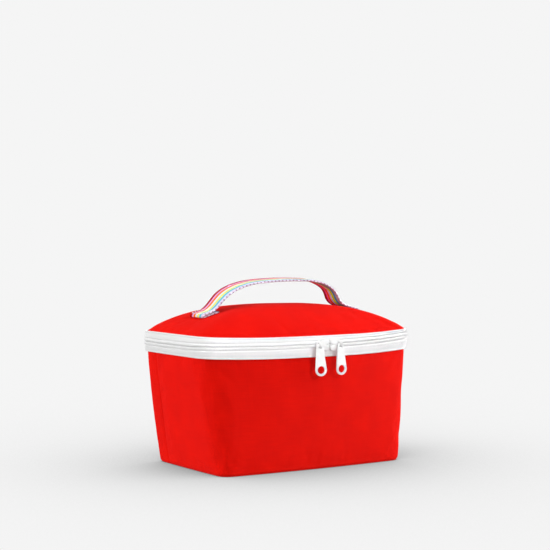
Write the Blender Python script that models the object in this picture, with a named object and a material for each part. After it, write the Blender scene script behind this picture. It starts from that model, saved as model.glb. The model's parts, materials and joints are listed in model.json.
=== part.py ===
"""Soft insulated lunch box: a padded bag, a zipped domed lid and a webbing handle.

Metres, +Z up. The origin is on the floor, in the middle of the object's footprint. The zip pulls are at -Y and
the fabric hinge is at +Y. The walls, the lid and the zip all follow one closed outline, a rectangle with bowed
sides and round corners. A place on it is given by an index: 0 is the middle of the front, 6 to 10 the front
corner, 12 the middle of the short side, 14 to 18 the back corner and 24 the middle of the back. The left half
(-X) has the same indices below zero.
"""

import math

import bmesh
import bpy
from mathutils import Vector

# Outline of the wall's outer face, at the floor and under the zip band: half width, half depth, how far the
# long and the short sides bow out, and the corner radius.
BASE_OUTLINE = (0.105, 0.0682, 0.004, 0.001, 0.012)
RIM_OUTLINE = (0.120, 0.0735, 0.0158, 0.002, 0.016)
BASE_FORWARD = 0.004  # the base stands this far in front of the rim
WALL_BULGE = 0.0010  # how far the walls belly out at half height
FOOTPRINT_SHIFT = 0.00341  # moves everything back, so that the pulls are part of the centred footprint

# Heights.
BAND_BOTTOM = 0.1085
ZIP_MIDDLE = 0.1199
BAND_TOP = 0.1289
CORNER_RISE = 0.0023  # the rim is this much higher at the corners
RISE_START = 0.35  # share of the half width where that rise begins

# Layers, from the outside in. Each is (depth of its outer face, depth of its inner face).
GAP = 0.0003
SKIN = (0.0, 0.0008)
FOAM = (0.0011, 0.0051)
LINING = (0.0054, 0.0059)
BINDING = (0.0062, 0.0070)

BASE_PANEL_TOP = 0.0010
WALL_BOTTOM = BASE_PANEL_TOP + GAP
BASE_FOAM_TOP = 0.0053
BASE_LINING = (0.0056, 0.0061)
WALL_FOAM_TOP = 0.1130
WALL_SKIN_TOP = 0.1140
BINDING_TOP = 0.1151
BINDING_DEPTH_DOWN = 0.0075
BINDING_LEG_GAP = 0.0004  # between the rim of the wall and the binding over it
WALL_HEIGHTS = (0.0220, 0.0440, 0.0660, 0.0880, BAND_BOTTOM)  # where the walls' layers are shaped

# Lid: a dome of this rise, whose section is (1 - r ** DOME_POWER) ** DOME_ROOT from the middle to the edge.
LID_RISE = 0.0264
DOME_POWER = 3.1
DOME_ROOT = 0.91
DOME_RINGS = (1.0, 0.94, 0.84, 0.70, 0.48, 0.22)
LID_SKIN_BOTTOM = 0.1250
LID_FOAM_BOTTOM = 0.1255
LID_BINDING_BOTTOM = 0.1242
LID_BINDING_TOP = 0.1288

# Zip: heights of the coils, how far the tape and the coil stand out, and where the zip ends on the outline.
LOWER_COIL = (0.1168, 0.1190)
UPPER_COIL = (0.1208, 0.1230)
COIL_FACES = (0.0012, 0.0036)
TAPE_BULGE = 0.0032
TAPE_THICKNESS = 0.0010
ZIP_END = 18.7
STOP_LENGTH_INDEX = 0.2
WALL_SEAM = 13.4
SEAM_HALF_GAP = 0.01

# Sliders and pulls. "Along" is measured from the line where the two sliders meet.
SLIDERS_MEET_X = 0.0089
SLIDER_START = 0.0003
SLIDER_LENGTH = 0.0156
SLIDER_HEIGHT_NOSE = 0.0115
SLIDER_HEIGHT_TAIL = 0.0086
SLIDER_FRONT_PLATE = (0.0040, 0.0054)
SLIDER_BACK_PLATE = (-0.0004, 0.0008)
SLIDER_BACK_HEIGHT = 0.0080
SLIDER_POST_HEIGHT = 0.0012
BRIDGE_OUT = 0.0078
BRIDGE_UP = 0.0005
BRIDGE_RADIUS = 0.0008
BRIDGE_ENDS = (0.0076, 0.0158)
PULL_ALONG = 0.0117
KNUCKLE_RADII = (0.00105, 0.0021)
KNUCKLE_WIDTH = 0.0046
PULL_THICKNESS = 0.0016
PULL_TOP_HALF_WIDTH = 0.0034
PULL_END_RADIUS = 0.0062
PULL_HOLE_RADIUS = 0.0035
PULL_HOLE_DOWN = 0.0239
PULL_LEAN = math.radians(4.0)
SLIDER_SHOULDER = 0.45  # share of the slider's length over which it keeps its full height
NOSE_ROUNDING = 0.0024
TAIL_ROUNDING = 0.0018
ROUNDING_STEPS = 3
SLIDER_BACK_INSETS = (0.0004, 0.0016)
SLIDER_POST_ALONG = (0.0006, 0.0030)
OVERLAP = 0.0005  # how far joined blocks run into each other
STUD_SIZE = (0.0012, 0.0020)  # along the zip, and up
BAR_SIDES = 10
NECK_INSET = 0.0001
SHOULDER_DROP = 0.0012
TAB_END_STEPS = 12
KNUCKLE_SIDES = 14
HOLE_SIDES = 16

# Handle: an arch of webbing, half an ellipse, and its feet on the lid.
STRAP_WIDTH = 0.025
STRAP_THICKNESS = 0.0022
ARCH_HALF_SPAN = 0.0725
ARCH_RISE = 0.0245
ARCH_FOOT_Z = 0.1555
ARCH_CUT_X = 0.0690
FOOT_END_X = 0.0935
FOOT_BEND_X = 0.0775
FOOT_THICKNESS = 0.0036
FOOT_CLEARANCE = 0.00045
FOOT_STEPS = 3
BEND_END_X = 0.0718
BEND_CORNER_X = 0.0735
BEND_CORNER_RISE = 0.0015
BEND_STEPS = 4
FOOT_RISE_STEP = 0.0013
CUT_GAP = 0.0004  # between the arch and a foot, along X
ARCH_STEPS = 20

RED = (0.80, 0.012, 0.006)
WHITE = (0.86, 0.86, 0.85)
SILVER = (0.62, 0.63, 0.65)
FOAM_GREY = (0.70, 0.70, 0.68)
STRIPE = (0.85, 0.45, 0.30)


# ---------------------------------------------------------------- outline

def outline_arcs(height):
    """Arc centres, radii and angles of the wall's outline at a height."""
    share = min(height, BAND_BOTTOM) / BAND_BOTTOM
    width, depth, long_bow, short_bow, corner = (
        low + (high - low) * share for low, high in zip(BASE_OUTLINE, RIM_OUTLINE)
    )
    bulge = WALL_BULGE * 4 * share * (1 - share)
    width += bulge
    depth += bulge
    long_radius = (width ** 2 + long_bow ** 2) / (2 * long_bow)
    short_radius = (depth ** 2 + short_bow ** 2) / (2 * short_bow)
    long_centre = Vector((0, long_radius - depth))
    short_centre = Vector((width - short_radius, 0))
    # The corner's centre is where the two arcs, moved in by the corner radius, cross in front of the middle.
    between = short_centre - long_centre
    apart = between.length
    reach_long = long_radius - corner
    reach_short = short_radius - corner
    along = (reach_long ** 2 - reach_short ** 2 + apart ** 2) / (2 * apart)
    across = math.sqrt(reach_long ** 2 - along ** 2)
    unit = between / apart
    corner_centre = long_centre + unit * along + Vector((-unit.y, unit.x)) * across
    to_long = corner_centre - long_centre
    to_short = corner_centre - short_centre
    start = math.atan2(to_long.y, to_long.x)
    end = math.atan2(to_short.y, to_short.x)
    forward = BASE_FORWARD * (1 - share)
    return (
        (long_centre, long_radius, -math.pi / 2, start),
        (corner_centre, corner, start, end),
        (short_centre, short_radius, end, 0.0),
        forward,
    )


def whole_index_point(index, height, offset):
    """The outline's point at a whole index from 0 to 24, moved out by offset, without the footprint shift."""
    front_arc, corner_arc, side_arc, forward = outline_arcs(height)
    quarter = min(index, 24 - index)
    if quarter <= 6:
        centre, radius, start, end = front_arc
        share = quarter / 6
    elif quarter <= 10:
        centre, radius, start, end = corner_arc
        share = (quarter - 6) / 4
    else:
        centre, radius, start, end = side_arc
        share = (quarter - 10) / 2
    angle = start + (end - start) * share
    x = centre.x + (radius + offset) * math.cos(angle)
    y = centre.y + (radius + offset) * math.sin(angle)
    if index > 12:
        y = -y
    return Vector((x, y - forward))


def outline_point(index, height, offset):
    """The outline's point at any index, whole or between two, from -24 to 24."""
    size = abs(index)
    low = min(int(size), 23)
    first = whole_index_point(low, height, offset)
    second = whole_index_point(low + 1, height, offset)
    point = first.lerp(second, size - low)
    return Vector((math.copysign(point.x, index) if index else 0.0, point.y + FOOTPRINT_SHIFT))


def corner_rise(x):
    """How far the rim lies above its height at the front's middle."""
    beyond = max(0.0, abs(x) / RIM_OUTLINE[0] - RISE_START) / (1 - RISE_START)
    return CORNER_RISE * beyond ** 2


def shell_point(index, height, offset):
    """A point of the wall or of the band."""
    flat = outline_point(index, height, offset)
    share = min(height / BAND_BOTTOM, 1.0)
    rim = outline_point(index, BAND_BOTTOM, 0.0)
    return Vector((flat.x, flat.y, height + corner_rise(rim.x) * share))


def indices(first, last):
    """The two ends and every whole index between them."""
    whole = [i for i in range(-24, 25) if first + 0.02 < i < last - 0.02]
    return [first] + whole + [last]


FULL_RING = list(range(-23, 25))


# ---------------------------------------------------------------- making meshes

def material(name, colour, roughness, metallic=0.0):
    made = bpy.data.materials.new(name)
    made.use_nodes = True
    shader = made.node_tree.nodes["Principled BSDF"]
    shader.inputs["Base Color"].default_value = (*colour, 1.0)
    shader.inputs["Roughness"].default_value = roughness
    shader.inputs["Metallic"].default_value = metallic
    made.diffuse_color = (*colour, 1.0)
    return made


def add_object(name, mesh, finish, parent=None, offset=Vector((0, 0, 0))):
    made = bpy.data.objects.new(name, mesh)
    bpy.context.collection.objects.link(made)
    if finish:
        mesh.materials.append(finish)
    if parent:
        made.parent = parent
    made.location = offset
    return made


def solid(name, points, faces, finish, parent=None, offset=Vector((0, 0, 0))):
    """An object from points and faces, with its faces turned outwards."""
    work = bmesh.new()
    verts = [work.verts.new(p) for p in points]
    for face in faces:
        work.faces.new([verts[i] for i in face])
    bmesh.ops.recalc_face_normals(work, faces=work.faces)
    mesh = bpy.data.meshes.new(name)
    work.to_mesh(mesh)
    work.free()
    return add_object(name, mesh, finish, parent, offset)


def sweep(name, places, section, finish, closed=False, parent=None, offset=Vector((0, 0, 0))):
    """A section, a list of (height, offset), carried along the outline through the given indices."""
    count = len(section)
    points = [shell_point(i, height, out) for i in places for height, out in section]
    faces = []
    runs = len(places) if closed else len(places) - 1
    for run in range(runs):
        here = run * count
        there = (run + 1) % len(places) * count
        for k in range(count):
            nxt = (k + 1) % count
            faces.append((here + k, here + nxt, there + nxt, there + k))
    if not closed:
        faces.append(tuple(range(count)))
        faces.append(tuple(range((len(places) - 1) * count, len(places) * count)))
    return solid(name, points, faces, finish, parent, offset)


def wall_section(layer, bottom, top):
    """A wall layer's section, at the same heights in every layer so that the layers stay parallel."""
    heights = [bottom, *WALL_HEIGHTS, top]
    outer = [(z, -layer[0]) for z in heights]
    inner = [(z, -layer[1]) for z in reversed(heights)]
    return outer + inner


def plate(name, bottom, top, inset, finish):
    """A flat plate that fills the outline, moved in by inset."""
    count = len(FULL_RING)
    points = []
    for z in (bottom, top):
        for i in FULL_RING:
            flat = outline_point(i, z, -inset)
            points.append(Vector((flat.x, flat.y, z)))
    faces = [tuple(range(count)), tuple(range(count, 2 * count))]
    for k in range(count):
        nxt = (k + 1) % count
        faces.append((k, nxt, count + nxt, count + k))
    return solid(name, points, faces, finish)


def extrude_outline(points, along, thickness, name, finish, parent=None, offset=Vector((0, 0, 0))):
    """A closed flat outline pushed along a direction, evenly to both sides."""
    push = Vector(along).normalized() * thickness / 2
    count = len(points)
    both = [Vector(p) - push for p in points] + [Vector(p) + push for p in points]
    faces = [tuple(range(count)), tuple(range(count, 2 * count))]
    for k in range(count):
        nxt = (k + 1) % count
        faces.append((k, nxt, count + nxt, count + k))
    return solid(name, both, faces, finish, parent, offset)


def combine(target, tool, operation):
    """A Boolean of target with a tool, which stays as a hidden guide."""
    tool.hide_render = True
    tool.display_type = "WIRE"
    step = target.modifiers.new(tool.name, "BOOLEAN")
    step.operation = operation
    step.solver = "EXACT"
    step.object = tool


def empty(name, location, parent=None, turn=0.0):
    made = bpy.data.objects.new(name, None)
    bpy.context.collection.objects.link(made)
    made.parent = parent
    made.location = location
    made.rotation_euler = (0, 0, turn)
    return made


# ---------------------------------------------------------------- bag

def make_bag(red, white, silver, foam):
    seam = WALL_SEAM
    front = indices(-seam + SEAM_HALF_GAP, seam - SEAM_HALF_GAP)
    back_right = indices(seam + SEAM_HALF_GAP, 24)
    back = back_right + [-i for i in reversed(back_right[:-1])]
    skin = wall_section(SKIN, WALL_BOTTOM, WALL_SKIN_TOP)
    padding = wall_section(FOAM, WALL_BOTTOM, WALL_FOAM_TOP)
    sweep("front_wall_panel", front, skin, red)
    sweep("back_wall_panel", back, skin, red)
    sweep("front_wall_foam", front, padding, foam)
    sweep("back_wall_foam", back, padding, foam)
    sweep("wall_lining", FULL_RING, wall_section(LINING, BASE_LINING[0], WALL_SKIN_TOP), silver, closed=True)
    plate("base_panel", 0.0, BASE_PANEL_TOP, 0.0, red)
    plate("base_foam", WALL_BOTTOM, BASE_FOAM_TOP, LINING[0], foam)
    plate("base_lining", BASE_LINING[0], BASE_LINING[1], BINDING[0], silver)
    leg_top = WALL_SKIN_TOP + BINDING_LEG_GAP
    binding = [
        (BINDING_TOP - BINDING_DEPTH_DOWN, -BINDING[1]),
        (BINDING_TOP, -BINDING[1]),
        (BINDING_TOP, -GAP),
        (leg_top, -GAP),
        (leg_top, -BINDING[0]),
        (BINDING_TOP - BINDING_DEPTH_DOWN, -BINDING[0]),
    ]
    sweep("rim_binding", FULL_RING, binding, white, closed=True)


def tape_section(sewn_edge, coil_edge):
    """A zip tape's section: flat on the skin at its sewn edge and standing out at its coil edge."""
    outer = []
    inner = []
    for share in (0.0, 0.3, 0.65, 1.0):
        height = sewn_edge + (coil_edge - sewn_edge) * share
        out = GAP + TAPE_THICKNESS + (TAPE_BULGE - GAP - TAPE_THICKNESS) * math.sin(share * math.pi / 2)
        outer.append((height, out))
        inner.insert(0, (height, out - TAPE_THICKNESS))
    return outer + inner


def coil_section(heights):
    low, high = heights
    inner, outer = COIL_FACES
    return [(low, inner), (low, outer), (high, outer), (high, inner)]


def make_zip(white, lid, lid_offset):
    places = indices(-ZIP_END, ZIP_END)
    sweep("lower_zip_tape", places, tape_section(BAND_BOTTOM, LOWER_COIL[0] - GAP), white)
    sweep("lower_zip_coil", places, coil_section(LOWER_COIL), white)
    upper = tape_section(BAND_TOP, UPPER_COIL[1] + GAP)
    sweep("upper_zip_tape", places, upper, white, parent=lid, offset=lid_offset)
    sweep("upper_zip_coil", places, coil_section(UPPER_COIL), white, parent=lid, offset=lid_offset)
    stop_start = ZIP_END + SEAM_HALF_GAP * 3
    for side, sign in (("left", -1), ("right", 1)):
        ends = [stop_start * sign, (stop_start + STOP_LENGTH_INDEX) * sign]
        sweep(f"zip_stop_{side}", ends, coil_section(LOWER_COIL), white)


def make_fabric_hinge(red):
    """The strip at the back, sewn to the wall below and to the lid above, between the zip's two ends."""
    start = ZIP_END + STOP_LENGTH_INDEX + SEAM_HALF_GAP * 6
    right = indices(start, 24)
    places = right + [-i for i in reversed(right[:-1])]
    lower = tape_section(BAND_BOTTOM, ZIP_MIDDLE)
    upper = tape_section(BAND_TOP, ZIP_MIDDLE)
    half = len(lower) // 2
    section = lower[:half] + upper[:half - 1][::-1] + upper[half + 1:][::-1] + lower[half:]
    sweep("fabric_hinge", places, section, red)


# ---------------------------------------------------------------- lid

def dome_height(ring, depth=0.0):
    """Height above the band of the lid's surface, or of a layer at a depth below it."""
    return (LID_RISE - depth) * (1 - ring ** DOME_POWER) ** DOME_ROOT


def dome_layer(name, layer, bottom, finish, parent, offset):
    """A domed shell with a short upright skirt, one closed solid."""
    outer_depth, inner_depth = layer
    count = len(FULL_RING)
    points = []

    def add_ring(ring, depth, height=None):
        for i in FULL_RING:
            edge = outline_point(i, BAND_TOP, -depth)
            centre_y = FOOTPRINT_SHIFT
            x = edge.x * ring
            y = centre_y + (edge.y - centre_y) * ring
            rise = corner_rise(outline_point(i, BAND_TOP, 0.0).x) * ring ** 4
            z = BAND_TOP + dome_height(ring, depth) if height is None else height
            points.append(Vector((x, y, z + rise)))

    rows = [(1.0, outer_depth, bottom)] + [(ring, outer_depth, None) for ring in DOME_RINGS]
    under = [(ring, inner_depth, None) for ring in reversed(DOME_RINGS)] + [(1.0, inner_depth, bottom)]
    for row in rows + under:
        add_ring(*row)
    top_pole = len(points)
    points.append(Vector((0, FOOTPRINT_SHIFT, BAND_TOP + LID_RISE - outer_depth)))
    points.append(Vector((0, FOOTPRINT_SHIFT, BAND_TOP + LID_RISE - inner_depth)))
    faces = []

    def bridge(first, second):
        for k in range(count):
            nxt = (k + 1) % count
            faces.append((first * count + k, first * count + nxt, second * count + nxt, second * count + k))

    for row in range(len(rows) - 1):
        bridge(row, row + 1)
    for row in range(len(under) - 1):
        bridge(len(rows) + row, len(rows) + row + 1)
    bridge(len(rows) + len(under) - 1, 0)
    inner_first = len(rows) * count
    outer_last = (len(rows) - 1) * count
    for k in range(count):
        nxt = (k + 1) % count
        faces.append((outer_last + k, outer_last + nxt, top_pole))
        faces.append((inner_first + k, inner_first + nxt, top_pole + 1))
    return solid(name, points, faces, finish, parent, offset)


def make_lid(red, white, silver, foam, lid, offset):
    dome_layer("lid_panel", SKIN, LID_SKIN_BOTTOM, red, lid, offset)
    dome_layer("lid_foam", FOAM, LID_FOAM_BOTTOM, foam, lid, offset)
    dome_layer("lid_lining", LINING, LID_FOAM_BOTTOM, silver, lid, offset)
    leg_bottom = LID_SKIN_BOTTOM - GAP
    binding = [
        (LID_BINDING_TOP, -BINDING[1]),
        (LID_BINDING_BOTTOM, -BINDING[1]),
        (LID_BINDING_BOTTOM, -GAP),
        (leg_bottom, -GAP),
        (leg_bottom, -BINDING[0]),
        (LID_BINDING_TOP, -BINDING[0]),
    ]
    sweep("lid_binding", FULL_RING, binding, white, closed=True, parent=lid, offset=offset)


# ---------------------------------------------------------------- handle

def arch_point(x):
    return Vector((x, FOOTPRINT_SHIFT, ARCH_FOOT_Z + ARCH_RISE * math.sqrt(1 - (x / ARCH_HALF_SPAN) ** 2)))


def lid_surface(x):
    """Height of the lid's outer face above the X axis's line through the middle."""
    ring = abs(x) / RIM_OUTLINE[0]
    return BAND_TOP + dome_height(ring) + corner_rise(RIM_OUTLINE[0]) * ring ** 4


def thick_path(path, thicknesses, upright):
    """The outline of a strip seen from its edge: the path moved to both sides by half its thickness.

    The strip is cut upright at the path's points in upright, and square to the path at its other end.
    """
    above = []
    below = []
    last = len(path) - 1
    for k, point in enumerate(path):
        direction = path[min(k + 1, last)] - path[max(k - 1, 0)]
        normal = Vector((-direction.z, 0, direction.x)).normalized()
        if k in upright:
            normal = Vector((0, 0, 1 / normal.z))
        above.append(point + normal * thicknesses[k] / 2)
        below.insert(0, point - normal * thicknesses[k] / 2)
    return above + below


def arch_path():
    """The arch's middle line from the left cut to the right one."""
    cut_angle = math.acos(ARCH_CUT_X / ARCH_HALF_SPAN)
    path = []
    for k in range(ARCH_STEPS + 1):
        angle = math.pi - cut_angle - (math.pi - 2 * cut_angle) * k / ARCH_STEPS
        path.append(arch_point(ARCH_HALF_SPAN * math.cos(angle)))
    return path


def foot_path():
    """A right foot's middle line: along the lid, round the bend and up to the cut."""
    path = []
    for k in range(FOOT_STEPS + 1):
        x = FOOT_END_X + (FOOT_BEND_X - FOOT_END_X) * k / FOOT_STEPS
        path.append(Vector((x, FOOTPRINT_SHIFT, lid_surface(x) + FOOT_CLEARANCE + FOOT_THICKNESS / 2)))
    start = path[-1]
    end = arch_point(BEND_END_X)
    corner = Vector((BEND_CORNER_X, FOOTPRINT_SHIFT, start.z + BEND_CORNER_RISE))
    for k in range(1, BEND_STEPS + 1):
        share = k / BEND_STEPS
        path.append(start.lerp(corner, share).lerp(corner.lerp(end, share), share))
    return path + [arch_point(x) for x in (BEND_END_X - FOOT_RISE_STEP, ARCH_CUT_X + CUT_GAP)]


def make_handle(stripe, lid, lid_offset, handle, handle_offset):
    """The arch, and its two feet. The cuts between them are upright, so that the arch sways past the feet."""
    path = arch_path()
    outline = thick_path(path, [STRAP_THICKNESS] * len(path), upright=(0, len(path) - 1))
    extrude_outline(outline, (0, 1, 0), STRAP_WIDTH, "handle_strap", stripe, handle, handle_offset)

    right = foot_path()
    folded = FOOT_STEPS + 1
    thick = [FOOT_THICKNESS] * folded + [STRAP_THICKNESS] * (len(right) - folded)
    for side, sign in (("left", -1), ("right", 1)):
        path = [Vector((p.x * sign, p.y, p.z)) for p in right]
        outline = thick_path(path, thick, upright=(len(path) - 1,))
        extrude_outline(outline, (0, 1, 0), STRAP_WIDTH, f"handle_foot_{side}", stripe, lid, lid_offset)


# ---------------------------------------------------------------- sliders and pulls

def box_outline(low_u, high_u, low_w, high_w, v):
    return [(low_u, v, low_w), (high_u, v, low_w), (high_u, v, high_w), (low_u, v, high_w)]


def rounded(corners, v):
    """A closed outline from (u, w, radius) corners, each one rounded by a short curve."""
    points = []
    for k, (u, w, radius) in enumerate(corners):
        corner = Vector((u, w))
        before = Vector(corners[k - 1][:2]) - corner
        after = Vector(corners[(k + 1) % len(corners)][:2]) - corner
        first = corner + before.normalized() * radius
        last = corner + after.normalized() * radius
        for step in range(ROUNDING_STEPS + 1):
            share = step / ROUNDING_STEPS
            at = first.lerp(corner, share).lerp(corner.lerp(last, share), share)
            points.append((at.x, v, at.y))
    return points


def make_slider(side, sign, centre_y, radius, finish):
    """One slider and its pull. sign is the way it points from the meeting line: -1 left, 1 right.

    u is the place along the zip from the meeting line, v is out of the front and w is up.
    """
    track = empty(f"slider_{side}_track", (0, centre_y, ZIP_MIDDLE), turn=SLIDERS_MEET_X / radius)

    def face(depths):
        return -(radius + sum(depths) / 2)

    def block(name, outline, depths):
        return extrude_outline(outline, (0, 1, 0), depths[1] - depths[0], name, None, track)

    nose = SLIDER_START * sign
    tail = (SLIDER_START + SLIDER_LENGTH) * sign
    shoulder = nose + SLIDER_LENGTH * SLIDER_SHOULDER * sign
    half_nose = SLIDER_HEIGHT_NOSE / 2
    half_tail = SLIDER_HEIGHT_TAIL / 2
    upper = [
        (nose, half_nose, NOSE_ROUNDING),
        (shoulder, half_nose, TAIL_ROUNDING),
        (tail, half_tail, TAIL_ROUNDING),
    ]
    lower = [(u, -w, round_off) for u, w, round_off in reversed(upper)]
    plan = rounded(upper + lower, face(SLIDER_FRONT_PLATE))
    depth = SLIDER_FRONT_PLATE[1] - SLIDER_FRONT_PLATE[0]
    body = extrude_outline(plan, (0, 1, 0), depth, f"slider_{side}_body", finish, track)

    half_back = SLIDER_BACK_HEIGHT / 2
    back_start = nose + SLIDER_BACK_INSETS[0] * sign
    back_end = tail - SLIDER_BACK_INSETS[1] * sign
    back = box_outline(back_start, back_end, -half_back, half_back, face(SLIDER_BACK_PLATE))
    combine(body, block(f"cut_back_{side}", back, SLIDER_BACK_PLATE), "UNION")

    # The post joins the two plates, and runs in the gap between the two coils.
    through = (SLIDER_BACK_PLATE[1] - OVERLAP, SLIDER_FRONT_PLATE[0] + OVERLAP)
    half_post = SLIDER_POST_HEIGHT / 2
    post_start = nose + SLIDER_POST_ALONG[0] * sign
    post_end = nose + SLIDER_POST_ALONG[1] * sign
    post = box_outline(post_start, post_end, -half_post, half_post, face(through))
    combine(body, block(f"cut_post_{side}", post, through), "UNION")

    # The bridge is a staple: a round bar along the zip, on a stud at each end.
    near, far = BRIDGE_ENDS
    stud_span = (SLIDER_FRONT_PLATE[1] - OVERLAP, BRIDGE_OUT + BRIDGE_RADIUS)
    for number, at in enumerate((near, far - STUD_SIZE[0])):
        low, high = BRIDGE_UP - STUD_SIZE[1] / 2, BRIDGE_UP + STUD_SIZE[1] / 2
        stud = box_outline(at * sign, (at + STUD_SIZE[0]) * sign, low, high, face(stud_span))
        combine(body, block(f"cut_stud_{side}_{number}", stud, stud_span), "UNION")
    bar = []
    for k in range(BAR_SIDES):
        angle = math.tau * (k + 0.5) / BAR_SIDES
        bar.append((
            (near + far) / 2 * sign,
            -(radius + BRIDGE_OUT + BRIDGE_RADIUS * math.cos(angle)),
            BRIDGE_UP + BRIDGE_RADIUS * math.sin(angle),
        ))
    length = far - near - STUD_SIZE[0]
    combine(body, extrude_outline(bar, (1, 0, 0), length, f"cut_bar_{side}", None, track), "UNION")
    make_pull(side, sign, radius, track, finish)


def make_pull(side, sign, radius, track, finish):
    """A flat tab with a round hole in its lower end and a knuckle at its top that turns on the bridge's bar."""
    pivot = empty(f"pull_{side}_pivot", (PULL_ALONG * sign, -(radius + BRIDGE_OUT), BRIDGE_UP), parent=track)
    lean = Vector((math.sin(PULL_LEAN), 0, -math.cos(PULL_LEAN)))
    across = Vector((math.cos(PULL_LEAN), 0, math.sin(PULL_LEAN)))
    hole = lean * PULL_HOLE_DOWN
    bore_radius, knuckle_radius = KNUCKLE_RADII
    half_neck = Vector((KNUCKLE_WIDTH / 2 - NECK_INSET, 0, 0))
    shoulder = Vector((0, 0, -knuckle_radius - SHOULDER_DROP))
    neck = Vector((0, 0, -knuckle_radius - NECK_INSET))
    inside = Vector((0, 0, -(bore_radius + knuckle_radius) / 2))
    outline = []
    for k in range(TAB_END_STEPS + 1):
        angle = math.pi * k / TAB_END_STEPS
        outline.append(hole + (across * math.cos(angle) + lean * math.sin(angle)) * PULL_END_RADIUS)
    outline += [
        shoulder - across * PULL_TOP_HALF_WIDTH,
        neck - half_neck,
        inside - half_neck,
        inside + half_neck,
        neck + half_neck,
        shoulder + across * PULL_TOP_HALF_WIDTH,
    ]
    tab = extrude_outline(outline, (0, 1, 0), PULL_THICKNESS, f"pull_tab_{side}", finish, pivot)

    def cylinder(name, ring_radius, count, centre, across_it, axis, length):
        ring = []
        for k in range(count):
            angle = math.tau * (k + 0.5) / count
            ring.append(centre + ring_radius * (across_it * math.cos(angle) + Vector((0, 0, math.sin(angle)))))
        return extrude_outline(ring, axis, length, f"{name}_{side}", None, pivot)

    along_x, along_y = Vector((1, 0, 0)), Vector((0, 1, 0))
    origin = Vector((0, 0, 0))
    knuckle = cylinder("cut_knuckle", knuckle_radius, KNUCKLE_SIDES, origin, along_y, along_x, KNUCKLE_WIDTH)
    combine(tab, knuckle, "UNION")
    bore = cylinder("cut_bore", bore_radius, KNUCKLE_SIDES, origin, along_y, along_x, KNUCKLE_WIDTH * 2)
    combine(tab, bore, "DIFFERENCE")
    eye = cylinder("cut_hole", PULL_HOLE_RADIUS, HOLE_SIDES, hole, along_x, along_y, PULL_THICKNESS * 3)
    combine(tab, eye, "DIFFERENCE")


# ---------------------------------------------------------------- assembly

def main():
    for old in list(bpy.data.objects):
        bpy.data.objects.remove(old)

    red = material("red_polyester", RED, 0.85)
    white = material("white_zip", WHITE, 0.6)
    lacquer = material("white_lacquer", WHITE, 0.3)
    silver = material("silver_film", SILVER, 0.35, 0.6)
    foam = material("foam", FOAM_GREY, 0.95)
    stripe = material("striped_webbing", STRIPE, 0.8)

    hinge_y = RIM_OUTLINE[1] + TAPE_BULGE + GAP + FOOTPRINT_SHIFT
    lid_at = Vector((0, hinge_y, ZIP_MIDDLE))
    lid = empty("lid_pivot", lid_at)
    handle_at = Vector((0, FOOTPRINT_SHIFT, arch_point(ARCH_CUT_X).z))
    handle = empty("handle_pivot", handle_at - lid_at, parent=lid)

    make_bag(red, white, silver, foam)
    make_zip(white, lid, -lid_at)
    make_fabric_hinge(red)
    make_lid(red, white, silver, foam, lid, -lid_at)
    make_handle(stripe, lid, -lid_at, handle, -handle_at)

    # The front of the zip is one arc, so each slider travels by turning about the arc's centre.
    front_arc = outline_arcs(BAND_BOTTOM)[0]
    centre_y = front_arc[0].y + FOOTPRINT_SHIFT
    for side, sign in (("left", -1), ("right", 1)):
        make_slider(side, sign, centre_y, front_arc[1], lacquer)


main()
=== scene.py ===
"""Looks of the soft insulated lunch box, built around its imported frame.

Metres, +Z up, with the zip pulls at -Y. The walls, the zip and the lid follow one closed outline. A place on
it is s, the distance along the rim from the middle of the front, positive towards +X. "out" is the distance
out from the wall's face.
"""

import json
import math
from functools import lru_cache

import bmesh
import bpy
from mathutils import Matrix, Vector, noise


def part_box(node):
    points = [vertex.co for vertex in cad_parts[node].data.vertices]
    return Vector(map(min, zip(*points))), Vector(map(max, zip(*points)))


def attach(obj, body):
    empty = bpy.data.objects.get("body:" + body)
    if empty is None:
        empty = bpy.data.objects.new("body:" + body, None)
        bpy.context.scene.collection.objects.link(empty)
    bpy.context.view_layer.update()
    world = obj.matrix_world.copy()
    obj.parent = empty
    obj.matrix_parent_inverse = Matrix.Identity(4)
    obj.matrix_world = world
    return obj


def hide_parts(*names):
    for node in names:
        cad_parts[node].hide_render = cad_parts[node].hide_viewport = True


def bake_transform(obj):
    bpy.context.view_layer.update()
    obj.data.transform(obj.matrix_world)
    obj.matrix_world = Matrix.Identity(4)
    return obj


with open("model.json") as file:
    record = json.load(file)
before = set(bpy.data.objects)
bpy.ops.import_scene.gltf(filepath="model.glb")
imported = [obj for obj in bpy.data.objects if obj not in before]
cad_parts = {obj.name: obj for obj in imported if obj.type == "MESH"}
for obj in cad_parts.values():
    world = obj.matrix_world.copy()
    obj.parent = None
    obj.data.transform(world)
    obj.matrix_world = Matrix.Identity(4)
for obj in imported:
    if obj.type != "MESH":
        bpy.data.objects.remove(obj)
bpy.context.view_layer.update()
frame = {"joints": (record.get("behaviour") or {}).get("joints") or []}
JOINTS = {joint["name"]: joint for joint in frame["joints"]}

# Outline of the wall's face at the floor and under the zip band: half width, half depth, how far the long and
# the short sides bow out, and the corner radius.
BASE_OUTLINE = (0.105, 0.0682, 0.004, 0.001, 0.012)
RIM_OUTLINE = (0.120, 0.0735, 0.0158, 0.002, 0.016)
BASE_FORWARD = 0.004
WALL_BULGE = 0.0010
CORNER_RISE = 0.0023
RISE_START = 0.35

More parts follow.
